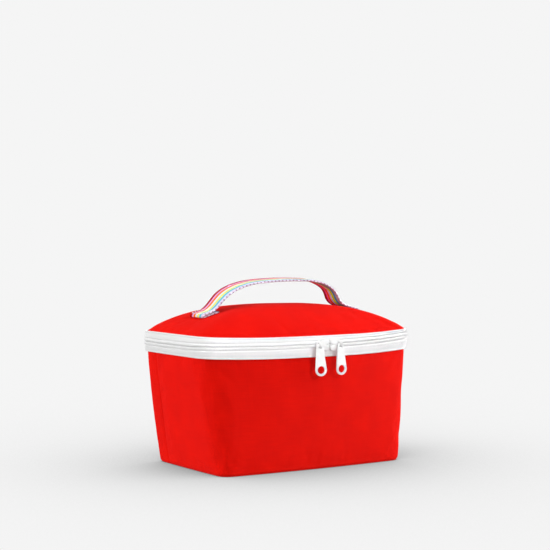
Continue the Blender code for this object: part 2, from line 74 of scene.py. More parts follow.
# Heights and places from the frame.
LID_LOW, LID_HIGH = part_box("lid_panel")
CENTRE_Y = (LID_LOW.y + LID_HIGH.y) / 2
BAND_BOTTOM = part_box("lower_zip_tape")[0].z
ZIP_MIDDLE = JOINTS["lid_hinge"]["pos_m"][2]
BAND_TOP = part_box("upper_zip_tape")[1].z - CORNER_RISE
LID_SKIRT = LID_LOW.z
LID_RISE = LID_HIGH.z - BAND_TOP
WALL_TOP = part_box("rim_binding")[1].z - CORNER_RISE
STRAP_LOW, STRAP_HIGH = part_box("handle_strap")
FOOT_END_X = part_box("handle_foot_right")[1].x
SLIDER_TURN = JOINTS["slider_left_travel"]["pos_m"]

DOME_POWER = 3.1
DOME_ROOT = 0.91
SKIN = 0.0008
GAP = 0.0003
FOAM_FACES = (0.0011, 0.0051)
FILM_FACES = (0.0054, 0.0058)
# The padding's outer face lies under the cover's deepest folds.
PADDING_FACES = (0.0024, FOAM_FACES[1])
TAPE_LIFT = 0.0032  # how far the zip stands out in the middle of the band

COIL_PITCH = 0.0014
COIL_WIRE = 0.0003
SIMULATED_FRAMES = 20


# ---------------------------------------------------------------- outline

@lru_cache(maxsize=4096)
def arcs(height):
    """The outline's three arcs at a height, as (centre, radius, start, end angle), and its forward shift."""
    share = min(height, BAND_BOTTOM) / BAND_BOTTOM
    width, depth, long_bow, short_bow, corner = (
        low + (high - low) * share for low, high in zip(BASE_OUTLINE, RIM_OUTLINE)
    )
    bulge = WALL_BULGE * 4 * share * (1 - share)
    width += bulge
    depth += bulge
    long_radius = (width ** 2 + long_bow ** 2) / (2 * long_bow)
    short_radius = (depth ** 2 + short_bow ** 2) / (2 * short_bow)
    long_centre = Vector((0, long_radius - depth))
    short_centre = Vector((width - short_radius, 0))
    between = short_centre - long_centre
    apart = between.length
    reach_long = long_radius - corner
    reach_short = short_radius - corner
    along = (reach_long ** 2 - reach_short ** 2 + apart ** 2) / (2 * apart)
    across = math.sqrt(reach_long ** 2 - along ** 2)
    unit = between / apart
    corner_centre = long_centre + unit * along + Vector((-unit.y, unit.x)) * across
    to_long = corner_centre - long_centre
    to_short = corner_centre - short_centre
    start = math.atan2(to_long.y, to_long.x)
    end = math.atan2(to_short.y, to_short.x)
    return (
        (long_centre, long_radius, -math.pi / 2, start),
        (corner_centre, corner, start, end),
        (short_centre, short_radius, end, 0.0),
        BASE_FORWARD * (1 - share),
    )


FRONT_HALF, CORNER, SIDE_HALF = ((arc[3] - arc[2]) * arc[1] for arc in arcs(BAND_BOTTOM)[:3])
SIDE_MIDDLE = FRONT_HALF + CORNER + SIDE_HALF
BACK_MIDDLE = 2 * SIDE_MIDDLE
RIM_LENGTH = 2 * BACK_MIDDLE
WALL_SEAM = SIDE_MIDDLE + 0.7 * SIDE_HALF
ZIP_END = BACK_MIDDLE - 0.883 * FRONT_HALF


@lru_cache(maxsize=400000)
def flat_at(s, height):
    """The outline's point at s and its outward direction, both in the plane at that height."""
    front, corner, side, forward = arcs(height)
    size = abs(s)
    quarter = min(size, BACK_MIDDLE - size)
    if quarter <= FRONT_HALF:
        arc, share = front, quarter / FRONT_HALF
    elif quarter <= FRONT_HALF + CORNER:
        arc, share = corner, (quarter - FRONT_HALF) / CORNER
    else:
        arc, share = side, (quarter - FRONT_HALF - CORNER) / SIDE_HALF
    centre, radius, start, end = arc
    angle = start + (end - start) * share
    outward = Vector((math.cos(angle), math.sin(angle)))
    point = centre + outward * radius
    if size > SIDE_MIDDLE:
        point.y, outward.y = -point.y, -outward.y
    if s < 0:
        point.x, outward.x = -point.x, -outward.x
    point.y += CENTRE_Y - forward
    return point, outward


def corner_rise(x):
    """How far the rim at x lies above its height at the front's middle."""
    beyond = max(0.0, abs(x) / RIM_OUTLINE[0] - RISE_START) / (1 - RISE_START)
    return CORNER_RISE * beyond ** 2


def wall_point(s, height, out=0.0):
    flat, outward = flat_at(s, height)
    share = min(height / BAND_BOTTOM, 1.0)
    rise = corner_rise(flat_at(s, BAND_BOTTOM)[0].x) * share
    return Vector((*(flat + outward * out), height + rise))


def spaced(first, last, step):
    """Places from first to last, about a step apart."""
    count = max(1, round((last - first) / step))
    return [first + (last - first) * k / count for k in range(count + 1)]


def ring_stations(step):
    """Places round the whole outline, without the last one, which is the first again."""
    return spaced(-BACK_MIDDLE, BACK_MIDDLE, step)[:-1]


def signed_power(value, power):
    """A power that keeps the value's sign. Below 1 it squares off a circle's corners."""
    return math.copysign(abs(value) ** power, value)


def smooth(share):
    share = min(max(share, 0.0), 1.0)
    return share * share * (3 - 2 * share)


def zip_line(s):
    """Height of the line where the two zip tapes meet. It wanders, as on a sewn zip."""
    knots = (
        (-0.36, 0.0), (-0.19, -0.0015), (-0.14, -0.0010), (-0.11, -0.0002), (-0.07, 0.0005), (-0.02, 0.0008),
        (0.01, 0.0006), (0.055, 0.0013), (0.11, 0.0020), (0.17, 0.0014), (0.36, 0.0),
    )
    for (low, first), (high, second) in zip(knots, knots[1:]):
        if low <= s <= high:
            return ZIP_MIDDLE + first + (second - first) * smooth((s - low) / (high - low))
    return ZIP_MIDDLE


# ---------------------------------------------------------------- meshes

def finish_mesh(name, mesh, material, body, replaced=(), closed=True):
    """Names, shades and places a new piece."""
    if closed:
        work = bmesh.new()
        work.from_mesh(mesh)
        bmesh.ops.recalc_face_normals(work, faces=work.faces)
        work.to_mesh(mesh)
        work.free()
    mesh.shade_smooth()
    made = bpy.data.objects.new(name, mesh)
    bpy.context.collection.objects.link(made)
    mesh.materials.append(material)
    if body:
        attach(made, body)
    if replaced:
        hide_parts(*replaced)
    return made


def grid_mesh(name, rows, uv, wrap=False, wrap_rows=False, pole=None, caps=False):
    """A sheet of quads through rows of points. uv gives a row's and column's place on the cloth."""
    count = len(rows[0])
    points = [p for row in rows for p in row]
    faces = []
    places = []
    columns = count if wrap else count - 1
    lines = len(rows) if wrap_rows else len(rows) - 1
    for row in range(lines):
        above = (row + 1) % len(rows)
        for column in range(columns):
            nxt = (column + 1) % count
            here, over = row * count, above * count
            faces.append((here + column, here + nxt, over + nxt, over + column))
            around = ((row, column), (row, column + 1), (row + 1, column + 1), (row + 1, column))
            places.append(tuple(uv(*place) for place in around))
    if pole is not None:
        points.append(pole)
        last = (len(rows) - 1) * count
        for column in range(columns):
            faces.append((last + column, last + (column + 1) % count, len(points) - 1))
            places.append((uv(len(rows) - 1, column), uv(len(rows) - 1, column + 1), uv(len(rows), column)))
    if caps:
        for column in (0, count - 1):
            faces.append(tuple(row * count + column for row in range(len(rows))))
            places.append(tuple(uv(row, column) for row in range(len(rows))))
    mesh = bpy.data.meshes.new(name)
    mesh.from_pydata(points, [], faces)
    layer = mesh.uv_layers.new(name="cloth")
    loop = 0
    for corners in places:
        for corner in corners:
            layer.data[loop].uv = corner
            loop += 1
    return mesh


def sweep_mesh(name, stations, section, wrap=False):
    """A closed section, section(s) -> [(height, out)], carried along the outline."""
    sections = [section(s) for s in stations]
    rows = []
    for k in range(len(sections[0])):
        rows.append([wall_point(s, *part[k]) for s, part in zip(stations, sections)])
    heights = [0.0]
    first = sections[0]
    for k in range(len(first)):
        nxt = first[(k + 1) % len(first)]
        heights.append(heights[-1] + math.hypot(nxt[0] - first[k][0], nxt[1] - first[k][1]))
    step = stations[1] - stations[0]

    def uv(row, column):
        return stations[0] + step * column, heights[row]

    return grid_mesh(name, rows, uv, wrap=wrap, wrap_rows=True, caps=not wrap)


def simulate_cover(obj, sewn, pressure, slack, cap):
    """Cloth simulation of a sewn cover: the sewn points hold, and the padding's push settles the rest."""
    scene = bpy.context.scene
    rest = [v.co.copy() for v in obj.data.vertices]
    obj.vertex_groups.new(name="sewn").add(sewn, 1.0, "REPLACE")
    cloth = obj.modifiers.new("cloth", "CLOTH")
    settings = cloth.settings
    settings.quality = 5
    settings.mass = 0.15
    settings.tension_stiffness = 12
    settings.compression_stiffness = 12
    settings.shear_stiffness = 4
    settings.bending_stiffness = 0.05
    settings.vertex_group_mass = "sewn"
    settings.shrink_min = -slack
    settings.use_pressure = True
    settings.uniform_pressure_force = pressure
    settings.effector_weights.gravity = 0
    cloth.collision_settings.use_collision = False
    for number in range(1, SIMULATED_FRAMES + 1):
        scene.frame_set(number)
    shaped = obj.evaluated_get(bpy.context.evaluated_depsgraph_get())
    moved = [v.co.copy() for v in shaped.data.vertices]
    obj.modifiers.remove(cloth)
    scene.frame_set(1)
    for vertex, before, after in zip(obj.data.vertices, rest, moved):
        push = after - before
        if push.length > cap:
            push *= cap / push.length
        vertex.co = before + push


def thicken(obj, thickness, levels=1):
    """Smooths a cloth sheet and gives it its thickness, inwards."""
    if levels:
        rounder = obj.modifiers.new("rounder", "SUBSURF")
        rounder.levels = rounder.render_levels = levels
    solid = obj.modifiers.new("thickness", "SOLIDIFY")
    solid.thickness = thickness
    solid.offset = -1.0


def tube_mesh(name, path, radius, sides=8, closed=False, squash=1.0, across=None):
    """A round bar or wire along a path of points, with flat ends unless it is closed.

    across is a fixed direction square to the whole path, and squash thins the bar in the other direction.
    """
    count = len(path)
    rows = []
    for k, point in enumerate(path):
        ahead = path[(k + 1) % count if closed else min(k + 1, count - 1)]
        behind = path[k - 1 if closed else max(k - 1, 0)]
        along = (ahead - behind).normalized()
        side = across or along.cross(Vector((0, 0, 1)))
        if side.length < 0.2:
            side = along.cross(Vector((0, 1, 0)))
        side = side.normalized()
        up = side.cross(along)
        ring = []
        for turn in range(sides):
            angle = math.tau * turn / sides
            ring.append(point + side * math.cos(angle) * radius + up * math.sin(angle) * radius * squash)
        rows.append(ring)

    def uv(row, column):
        return column / sides, row * radius

    mesh = grid_mesh(name, rows, uv, wrap=True, wrap_rows=closed)
    if not closed:
        work = bmesh.new()
        work.from_mesh(mesh)
        work.verts.ensure_lookup_table()
        work.faces.new([work.verts[k] for k in range(sides)])
        work.faces.new([work.verts[(count - 1) * sides + k] for k in range(sides)])
        work.to_mesh(mesh)
        work.free()
    return mesh


def join_meshes(name, meshes):
    """One mesh that holds several separate bodies."""
    work = bmesh.new()
    for mesh in meshes:
        work.from_mesh(mesh)
        bpy.data.meshes.remove(mesh)
    joined = bpy.data.meshes.new(name)
    work.to_mesh(joined)
    work.free()
    return joined


def stitches_mesh(name, place, first, last, pitch=0.0029, share=0.74, radius=0.00026, sink=0.4):
    """A row of thread stitches. place(t) gives the point and the surface's normal at a distance t."""
    count = max(1, round((last - first) / pitch))
    points = []
    faces = []
    rings = (0.0, 0.12, 0.5, 0.88, 1.0)
    swell = (0.35, 0.85, 1.0, 0.85, 0.35)
    lift = (-0.9, -0.1, 0.35, -0.1, -0.9)
    sides = 6
    for number in range(count):
        start = first + (last - first) * (number + (1 - share) / 2) / count
        length = (last - first) / count * share
        base = len(points)
        for at, size, up in zip(rings, swell, lift):
            centre, normal = place(start + length * at)
            ahead, _ = place(start + length * at + 0.0002)
            along = (ahead - centre).normalized()
            side = along.cross(normal).normalized()
            centre = centre + normal * radius * (up + 1 - sink)
            for turn in range(sides):
                angle = math.tau * turn / sides
                points.append(centre + (side * math.cos(angle) + normal * math.sin(angle)) * radius * size)
        for ring in range(len(rings) - 1):
            for turn in range(sides):
                nxt = (turn + 1) % sides
                low = base + ring * sides
                faces.append((low + turn, low + nxt, low + sides + nxt, low + sides + turn))
        faces.append(tuple(base + turn for turn in range(sides)))
        faces.append(tuple(base + (len(rings) - 1) * sides + turn for turn in range(sides)))
    mesh = bpy.data.meshes.new(name)
    mesh.from_pydata(points, [], faces)
    return mesh


# ---------------------------------------------------------------- materials

def wire(tree, kind, inputs=(), output=0, **settings):
    """Adds a node, sets or links its inputs, and returns one of its outputs."""
    made = tree.nodes.new(kind)
    for key, value in settings.items():
        setattr(made, key, value)
    pairs = inputs.items() if isinstance(inputs, dict) else enumerate(inputs)
    for key, value in pairs:
        if value is None:
            continue
        if isinstance(value, bpy.types.NodeSocket):
            tree.links.new(value, made.inputs[key])
        else:
            made.inputs[key].default_value = value
    return made.outputs[output]


def maths(tree, operation, *values):
    return wire(tree, "ShaderNodeMath", values, operation=operation)


def blank(name, **sockets):
    """A new material with its shader's sockets set. Returns the material, its tree and its shader."""
    made = bpy.data.materials.new(name)
    made.use_nodes = True
    shader = made.node_tree.nodes["Principled BSDF"]
    for socket, value in sockets.items():
        shader.inputs[socket.replace("_", " ")].default_value = value
    return made, made.node_tree, shader


def cloth_place(tree):
    """The cloth's own coordinates in metres, along and across, from the mesh."""
    both = wire(tree, "ShaderNodeUVMap", uv_map="cloth")
    split = tree.nodes.new("ShaderNodeSeparateXYZ")
    tree.links.new(both, split.inputs[0])
    return both, split.outputs[0], split.outputs[1]


def plain_weave(tree, along, across, pitch):
    """Height of a plain weave: threads that go over and under each other like a chessboard."""
    columns = maths(tree, "MULTIPLY", along, 1 / pitch)
    rows = maths(tree, "MULTIPLY", across, 1 / pitch)
    warp = maths(tree, "ABSOLUTE", maths(tree, "SINE", maths(tree, "MULTIPLY", columns, math.pi)))
    weft = maths(tree, "ABSOLUTE", maths(tree, "SINE", maths(tree, "MULTIPLY", rows, math.pi)))
    cells = maths(tree, "ADD", maths(tree, "FLOOR", columns), maths(tree, "FLOOR", rows))
    over = maths(tree, "FLOORED_MODULO", cells, 2.0)
    mix = wire(tree, "ShaderNodeMix", {0: over, 2: warp, 3: weft}, data_type="FLOAT")
    return mix


def slub(tree, along, across, length, width):
    """Uneven threads: a noise that is long in one direction and thin in the other."""
    joined = wire(
        tree, "ShaderNodeCombineXYZ",
        (maths(tree, "MULTIPLY", along, 1 / length), maths(tree, "MULTIPLY", across, 1 / width), 0.0),
    )
    return wire(tree, "ShaderNodeTexNoise", {"Vector": joined, "Scale": 1.0, "Detail": 2.0})


def centred(tree, value, amount):
    """A noise value, moved to lie evenly round zero and scaled."""
    return maths(tree, "MULTIPLY", maths(tree, "SUBTRACT", value, 0.5), amount)


def steep(tree, value, start, slope):
    """A value that rises from 0 to 1 beyond a start."""
    risen = maths(tree, "MULTIPLY", maths(tree, "SUBTRACT", value, start), slope)
    return wire(tree, "ShaderNodeClamp", (risen,))


def two_colours(tree, share, first, second):
    return wire(
        tree, "ShaderNodeMix", {0: share, 6: (*first, 1.0), 7: (*second, 1.0)}, output=2, data_type="RGBA"
    )


def colour_between(tree, shader, share, first, second):
    """Links the shader's colour to a mix of two colours."""
    tree.links.new(two_colours(tree, share, first, second), shader.inputs["Base Color"])


def bump(tree, shader, height, distance, strength=1.0):
    normal = wire(tree, "ShaderNodeBump", {"Height": height, "Distance": distance, "Strength": strength})
    tree.links.new(normal, shader.inputs["Normal"])


def woven_cloth(name, light, dark, pitch, relief, roughness, sheen, mottle=1.2):
    """Plain woven polyester with uneven threads and a faint mottle."""
    made, tree, shader = blank(
        name, Roughness=roughness, Specular_IOR_Level=0.06, Sheen_Weight=sheen, Sheen_Roughness=0.5
    )
    both, along, across = cloth_place(tree)
    weave = plain_weave(tree, along, across, pitch)
    warp = slub(tree, across, along, 0.030, pitch * 1.6)
    weft = slub(tree, along, across, 0.024, pitch * 1.6)
    cloud = wire(tree, "ShaderNodeTexNoise", {"Vector": both, "Scale": 38.0, "Detail": 3.0})
    tone = maths(tree, "ADD", centred(tree, warp, 0.7), centred(tree, weft, 0.9))
    tone = maths(tree, "ADD", tone, centred(tree, cloud, mottle))
    tone = maths(tree, "ADD", tone, maths(tree, "MULTIPLY", weave, 0.5))
    tone = wire(tree, "ShaderNodeClamp", (maths(tree, "ADD", tone, 0.2),))
    colour_between(tree, shader, tone, dark, light)
    rough = maths(tree, "ADD", roughness, centred(tree, cloud, 0.12))
    tree.links.new(rough, shader.inputs["Roughness"])
    height = maths(tree, "ADD", weave, maths(tree, "ADD", centred(tree, warp, 0.5), centred(tree, weft, 0.5)))
    bump(tree, shader, height, relief, 0.8)
    return made


def zip_tape_cloth():
    """White zip tape: a fine herringbone that runs along the tape."""
    made, tree, shader = blank("zip_tape_cloth", Roughness=0.72, Specular_IOR_Level=0.16, Sheen_Weight=0.08)
    both, along, across = cloth_place(tree)
    pitch = 0.00055
    columns = maths(tree, "MULTIPLY", across, 1 / pitch)
    leaning = maths(tree, "PINGPONG", maths(tree, "MULTIPLY", across, 1 / (pitch * 4)), 1.0)
    rows = maths(
        tree, "ADD", maths(tree, "MULTIPLY", along, 1 / pitch), maths(tree, "MULTIPLY", leaning, 2.0)
    )
    rib = maths(tree, "ABSOLUTE", maths(tree, "SINE", maths(tree, "MULTIPLY", rows, math.pi)))
    cord = maths(tree, "ABSOLUTE", maths(tree, "SINE", maths(tree, "MULTIPLY", columns, math.pi)))
    weave = maths(tree, "ADD", maths(tree, "MULTIPLY", rib, 0.6), maths(tree, "MULTIPLY", cord, 0.4))
    cloud = wire(tree, "ShaderNodeTexNoise", {"Vector": both, "Scale": 60.0, "Detail": 3.0})
    tone = maths(tree, "ADD", maths(tree, "MULTIPLY", weave, 0.7), centred(tree, cloud, 0.5))
    tone = wire(tree, "ShaderNodeClamp", (maths(tree, "ADD", tone, 0.2),))
    colour_between(tree, shader, tone, (0.80, 0.80, 0.80), (0.87, 0.87, 0.87))
    bump(tree, shader, weave, 0.00008, 0.7)
    return made


def moulded_coil():
    """White nylon monofilament."""
    made, tree, shader = blank("moulded_coil", Roughness=0.38, Specular_IOR_Level=0.35)
    where = wire(tree, "ShaderNodeTexCoord", output=3)
    scuff = wire(tree, "ShaderNodeTexNoise", {"Vector": where, "Scale": 900.0, "Detail": 2.0})
    colour_between(tree, shader, scuff, (0.80, 0.80, 0.795), (0.90, 0.90, 0.895))
    tree.links.new(maths(tree, "ADD", 0.34, centred(tree, scuff, 0.2)), shader.inputs["Roughness"])
    return made


def white_lacquer():
    """Thick white lacquer on die-cast metal, with a faint orange peel."""
    made, tree, shader = blank(
        "white_lacquer", Roughness=0.35, Specular_IOR_Level=0.35, Coat_Weight=0.2, Coat_Roughness=0.15
    )
    where = wire(tree, "ShaderNodeTexCoord", output=3)
    peel = wire(tree, "ShaderNodeTexNoise", {"Vector": where, "Scale": 1400.0, "Detail": 2.0})
    cloud = wire(tree, "ShaderNodeTexNoise", {"Vector": where, "Scale": 220.0, "Detail": 3.0})
    colour_between(tree, shader, cloud, (0.86, 0.86, 0.862), (0.90, 0.90, 0.90))
    tree.links.new(maths(tree, "ADD", 0.26, centred(tree, cloud, 0.16)), shader.inputs["Roughness"])
    bump(tree, shader, peel, 0.00003, 0.4)
    return made


def silver_film():
    """Wipe-clean silver film over padding: crinkled, with a fine embossed grid."""
    made, tree, shader = blank("silver_film", Metallic=0.75, Roughness=0.3)
    both, along, across = cloth_place(tree)
    crinkle = wire(
        tree, "ShaderNodeTexNoise", {"Vector": both, "Scale": 120.0, "Detail": 4.0, "Roughness": 0.6}
    )
    folds = wire(tree, "ShaderNodeTexVoronoi", {"Vector": both, "Scale": 55.0}, feature="DISTANCE_TO_EDGE")
    emboss = plain_weave(tree, along, across, 0.0016)
    colour_between(tree, shader, crinkle, (0.60, 0.61, 0.63), (0.74, 0.75, 0.77))
    tree.links.new(maths(tree, "ADD", 0.30, centred(tree, crinkle, 0.25)), shader.inputs["Roughness"])
    height = maths(tree, "ADD", crinkle, maths(tree, "MULTIPLY", folds, 0.8))
    height = maths(tree, "ADD", height, maths(tree, "MULTIPLY", emboss, 0.12))
    bump(tree, shader, height, 0.0006, 0.6)
    return made


def closed_foam():
    made, tree, shader = blank("closed_foam", Roughness=0.95, Specular_IOR_Level=0.1)
    where = wire(tree, "ShaderNodeTexCoord", output=3)
    cells = wire(tree, "ShaderNodeTexVoronoi", {"Vector": where, "Scale": 1500.0})
    colour_between(tree, shader, cells, (0.72, 0.72, 0.70), (0.88, 0.88, 0.86))
    bump(tree, shader, cells, 0.0002, 0.6)
    return made


def thread(name, light, dark):
    """Twisted sewing thread."""
    made, tree, shader = blank(name, Roughness=0.6, Specular_IOR_Level=0.2, Sheen_Weight=0.1)
    where = wire(tree, "ShaderNodeTexCoord", output=3)
    twist = wire(
        tree, "ShaderNodeTexWave", {"Vector": where, "Scale": 1300.0, "Distortion": 2.0},
        bands_direction="DIAGONAL",
    )
    colour_between(tree, shader, twist, dark, light)
    bump(tree, shader, twist, 0.00005, 0.6)
    return made


# Stripes across the webbing from its back edge to its front edge, on the face and on the reverse.
# The face's paler colours are partly the yarn's own and partly painted highlight of its brightly lit top.
FACE_STRIPES_WITH_PAINTED_HIGHLIGHT = (
    (0.46, 0.0, 0.0015), (0.86, 0.42, 0.80), (0.95, 0.21, 0.0), (0.78, 0.84, 0.90),
    (0.90, 0.86, 0.20), (0.13, 0.54, 0.72), (0.74, 0.70, 0.86),
)
REVERSE_STRIPES = (
    (0.40, 0.0, 0.001), (1.0, 0.075, 0.30), (0.98, 0.10, 0.0), (0.74, 0.60, 0.95),
    (0.66, 0.95, 0.0), (0.09, 0.40, 0.64), (0.52, 0.42, 0.54),
)
STRIPE_EDGES = (0.0, 0.185, 0.295, 0.43, 0.565, 0.715, 0.875)


def striped_webbing(name, stripes):
    """Striped webbing: coloured warps, fine weft ribs across, and a beaded mauve picot edge."""
    made, tree, shader = blank(name, Roughness=0.85, Specular_IOR_Level=0.06)
    both, along, across = cloth_place(tree)
    share = maths(tree, "DIVIDE", across, STRAP_WIDTH)
    wobble = wire(tree, "ShaderNodeTexNoise", {"Vector": both, "Scale": 900.0, "Detail": 1.0})
    ramp = tree.nodes.new("ShaderNodeValToRGB")
    ramp.color_ramp.interpolation = "CONSTANT"
    marks = ramp.color_ramp.elements
    while len(marks) < len(stripes):
        marks.new(0.5)
    for mark, position, colour in zip(marks, STRIPE_EDGES, stripes):
        mark.position = position
        mark.color = (*colour, 1.0)
    tree.links.new(maths(tree, "ADD", share, centred(tree, wobble, 0.02)), ramp.inputs[0])
    # The picot: mauve loops along the front edge.
    beads = maths(tree, "SINE", maths(tree, "MULTIPLY", along, math.tau / PICOT_PITCH))
    beads = steep(tree, beads, 0.35, 3.5)
    rim = steep(tree, share, 0.966, 80.0)
    picot = maths(tree, "MULTIPLY", maths(tree, "MULTIPLY", beads, rim), 0.85)
    striped = wire(
        tree, "ShaderNodeMix", {0: picot, 6: ramp.outputs[0], 7: (0.36, 0.18, 0.30, 1.0)},
        output=2, data_type="RGBA",
    )
    ribs = maths(tree, "ABSOLUTE", maths(tree, "SINE", maths(tree, "MULTIPLY", along, math.pi / 0.0009)))
    warps = maths(tree, "ABSOLUTE", maths(tree, "SINE", maths(tree, "MULTIPLY", across, math.pi / 0.0006)))
    weave = maths(tree, "MULTIPLY", ribs, maths(tree, "ADD", 0.4, maths(tree, "MULTIPLY", warps, 0.6)))
    shade = maths(tree, "ADD", 0.82, maths(tree, "MULTIPLY", weave, 0.3))
    grey = wire(tree, "ShaderNodeCombineColor", (shade, shade, shade))
    shaded = wire(
        tree, "ShaderNodeMix", {0: 1.0, 6: striped, 7: grey},
        output=2, data_type="RGBA", blend_type="MULTIPLY",
    )
    tree.links.new(shaded, shader.inputs["Base Color"])
    bump(tree, shader, weave, 0.00018, 0.8)
    return made


# ---------------------------------------------------------------- bag

WALL_ROW = 0.0032
COLUMN = 0.0030
BOTTOM_ROUNDING = 0.0026
SEAM_DIP = 0.0009
SEAM_WIDTH = 0.0016


def wall_rows():
    """(height, out) of a wall cover's rows, from its turned-in bottom edge to its top under the zip tape."""
    rows = []
    for turn in (85, 62, 40, 20):
        angle = math.radians(turn)
        low = GAP + BOTTOM_ROUNDING * (1 - math.sin(angle))
        rows.append((low, -BOTTOM_ROUNDING * (1 - math.cos(angle))))
    top = WALL_TOP - 0.0011
    return rows + [(z, 0.0) for z in spaced(BOTTOM_ROUNDING + GAP, top, WALL_ROW)]


def seam_dip(distance):
    """How far a cover's face turns in near its seam."""
    return -SEAM_DIP * math.exp(-(distance / SEAM_WIDTH) ** 2)


def wrapped_place(s):
    """The same place on the outline, for an s that has gone on past the middle of the back."""
    return s if s <= BACK_MIDDLE else s - RIM_LENGTH


def make_wall_cover(name, node, first, last, material):
    ends = (-0.0002, 0.0012, 0.0026)
    stations = [first + e for e in ends]
    stations += spaced(first + 0.005, last - 0.005, COLUMN)
    stations += [last - e for e in ends[::-1]]
    levels = wall_rows()
    rows = []
    for height, out in levels:
        row = []
        for s in stations:
            wrapped = wrapped_place(s)
            dip = seam_dip(min(s - first, last - s))
            fold = noise.noise(Vector((s * 28, height * 14, 3.0))) * 0.0005
            row.append(wall_point(wrapped, height, out + dip + (fold if out == 0.0 else 0.0)))
        rows.append(row)

    def uv(row, column):
        return stations[column], levels[row][0]

    mesh = grid_mesh(name, rows, uv)
    made = finish_mesh(name, mesh, material, "bag", (node,), closed=False)
    count = len(stations)
    sewn = []
    for row, (height, out) in enumerate(levels):
        for column in range(count):
            if height > BAND_BOTTOM or height < 0.006 or column in (0, 1, count - 2, count - 1):
                sewn.append(row * count + column)
    simulate_cover(made, sewn, pressure=1.2, slack=0.004, cap=0.0012)
    thicken(made, SKIN)
    return made


def close_ends(mesh, rows, origin):
    """Caps the first and the last row of a wrapped grid. origin is where the cloth's place is zero."""
    work = bmesh.new()
    work.from_mesh(mesh)
    work.verts.ensure_lookup_table()
    count = len(rows[0])
    layer = work.loops.layers.uv["cloth"]
    for first in (0, (len(rows) - 1) * count):
        face = work.faces.new([work.verts[first + k] for k in range(count)])
        for loop in face.loops:
            loop[layer].uv = loop.vert.co.xy - origin
    bmesh.ops.triangulate(work, faces=[f for f in work.faces if len(f.verts) > 4])
    work.to_mesh(mesh)
    work.free()


def slab_mesh(name, low, high, inset, step=0.004, crown=0.0, rings=(1.0, 0.97, 0.85, 0.6, 0.3)):
    """A flat padded plate that fills the outline, with rounded edges and an upper face that may swell."""
    stations = ring_stations(step)
    middle = (low + high) / 2
    half = (high - low) / 2
    levels = []
    for ring in rings[::-1]:
        levels.append((ring, low, 0.0))
    levels.append((1.0, middle, half * 0.8))
    for ring in rings:
        levels.append((ring, high + crown * (1 - ring ** 4), 0.0))
    rows = []
    for ring, height, swell in levels:
        row = []
        for s in stations:
            flat, outward = flat_at(s, low)
            edge = flat - outward * (inset + (half if swell == 0.0 else 0.0) - swell)
            centre = Vector((0.0, CENTRE_Y))
            place = centre + (edge - centre) * ring
            row.append(Vector((place.x, place.y, height)))
        rows.append(row)

    def uv(row, column):
        place = rows[min(row, len(rows) - 1)][column % len(stations)]
        return place.x, place.y

    mesh = grid_mesh(name, rows, uv, wrap=True)
    close_ends(mesh, rows, Vector((0.0, 0.0)))
    return mesh


def padding_section(bottom, top):
    """A padding layer's section with rounded ends."""
    outer, inner = PADDING_FACES
    middle = (outer + inner) / 2
    heights = spaced(bottom + 0.0012, top - 0.0012, 0.018)

    def section(_):
        points = [(bottom, -middle)]
        points += [(z, -outer) for z in heights]
        points += [(top, -middle)]
        points += [(z, -inner) for z in reversed(heights)]
        return points

    return section


def make_padding(foam):
    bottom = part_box("front_wall_foam")[0].z
    top = WALL_TOP - 0.0021
    section = padding_section(bottom, top)
    split = 0.0004
    for name, node, first, last in (
        ("front_wall_padding", "front_wall_foam", -WALL_SEAM + split, WALL_SEAM - split),
        ("back_wall_padding", "back_wall_foam", WALL_SEAM + split, RIM_LENGTH - WALL_SEAM - split),
    ):
        stations = spaced(first, last, 0.006)
        places = [wrapped_place(s) for s in stations]
        rows = [[wall_point(s, *part) for s in places] for part in section(0)]
        mesh = grid_mesh(
            name, rows, lambda row, column: (column * 0.006, row * 0.01), wrap_rows=True, caps=True
        )
        finish_mesh(name, mesh, foam, "bag", (node,))
    low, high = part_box("base_foam")
    mesh = slab_mesh("base_padding", low.z, high.z, FILM_FACES[0])
    finish_mesh("base_padding", mesh, foam, "bag", ("base_foam",))


def make_linings(film):
    """The silver film on the walls and on the base."""
    floor_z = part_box("base_lining")[0].z
    top = WALL_TOP - 0.0011
    outer, inner = FILM_FACES
    heights = spaced(floor_z + 0.003, top, 0.006)

    def section(s):
        def crinkle(z):
            fade = smooth((top - z) / 0.02) * smooth((z - floor_z) / 0.01)
            return noise.noise(Vector((s * 34, z * 40, 0.0))) * 0.0005 * fade

        points = [(z, -outer) for z in heights]
        points += [(z, -inner + crinkle(z)) for z in reversed(heights)]
        return points + [(floor_z + 0.0008, -inner - 0.0012), (floor_z, -inner - 0.0028), (floor_z, -outer)]

    mesh = sweep_mesh("wall_film", ring_stations(0.004), section, wrap=True)
    made = finish_mesh("wall_film", mesh, film, "bag", ("wall_lining",))
    low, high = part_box("base_lining")
    rings = (1.0, 0.98, 0.93, 0.86, 0.77, 0.66, 0.53, 0.38, 0.2)
    mesh = slab_mesh("base_film", low.z, high.z, 0.0075, crown=0.0008, rings=rings)
    for vertex in mesh.vertices:
        if vertex.co.z > high.z - 0.0001:
            reach = smooth((0.09 - abs(vertex.co.x)) / 0.02)
            vertex.co.z += noise.noise(vertex.co * 30) * 0.0005 * reach
    made = finish_mesh("base_film", mesh, film, "bag", ("base_lining",))


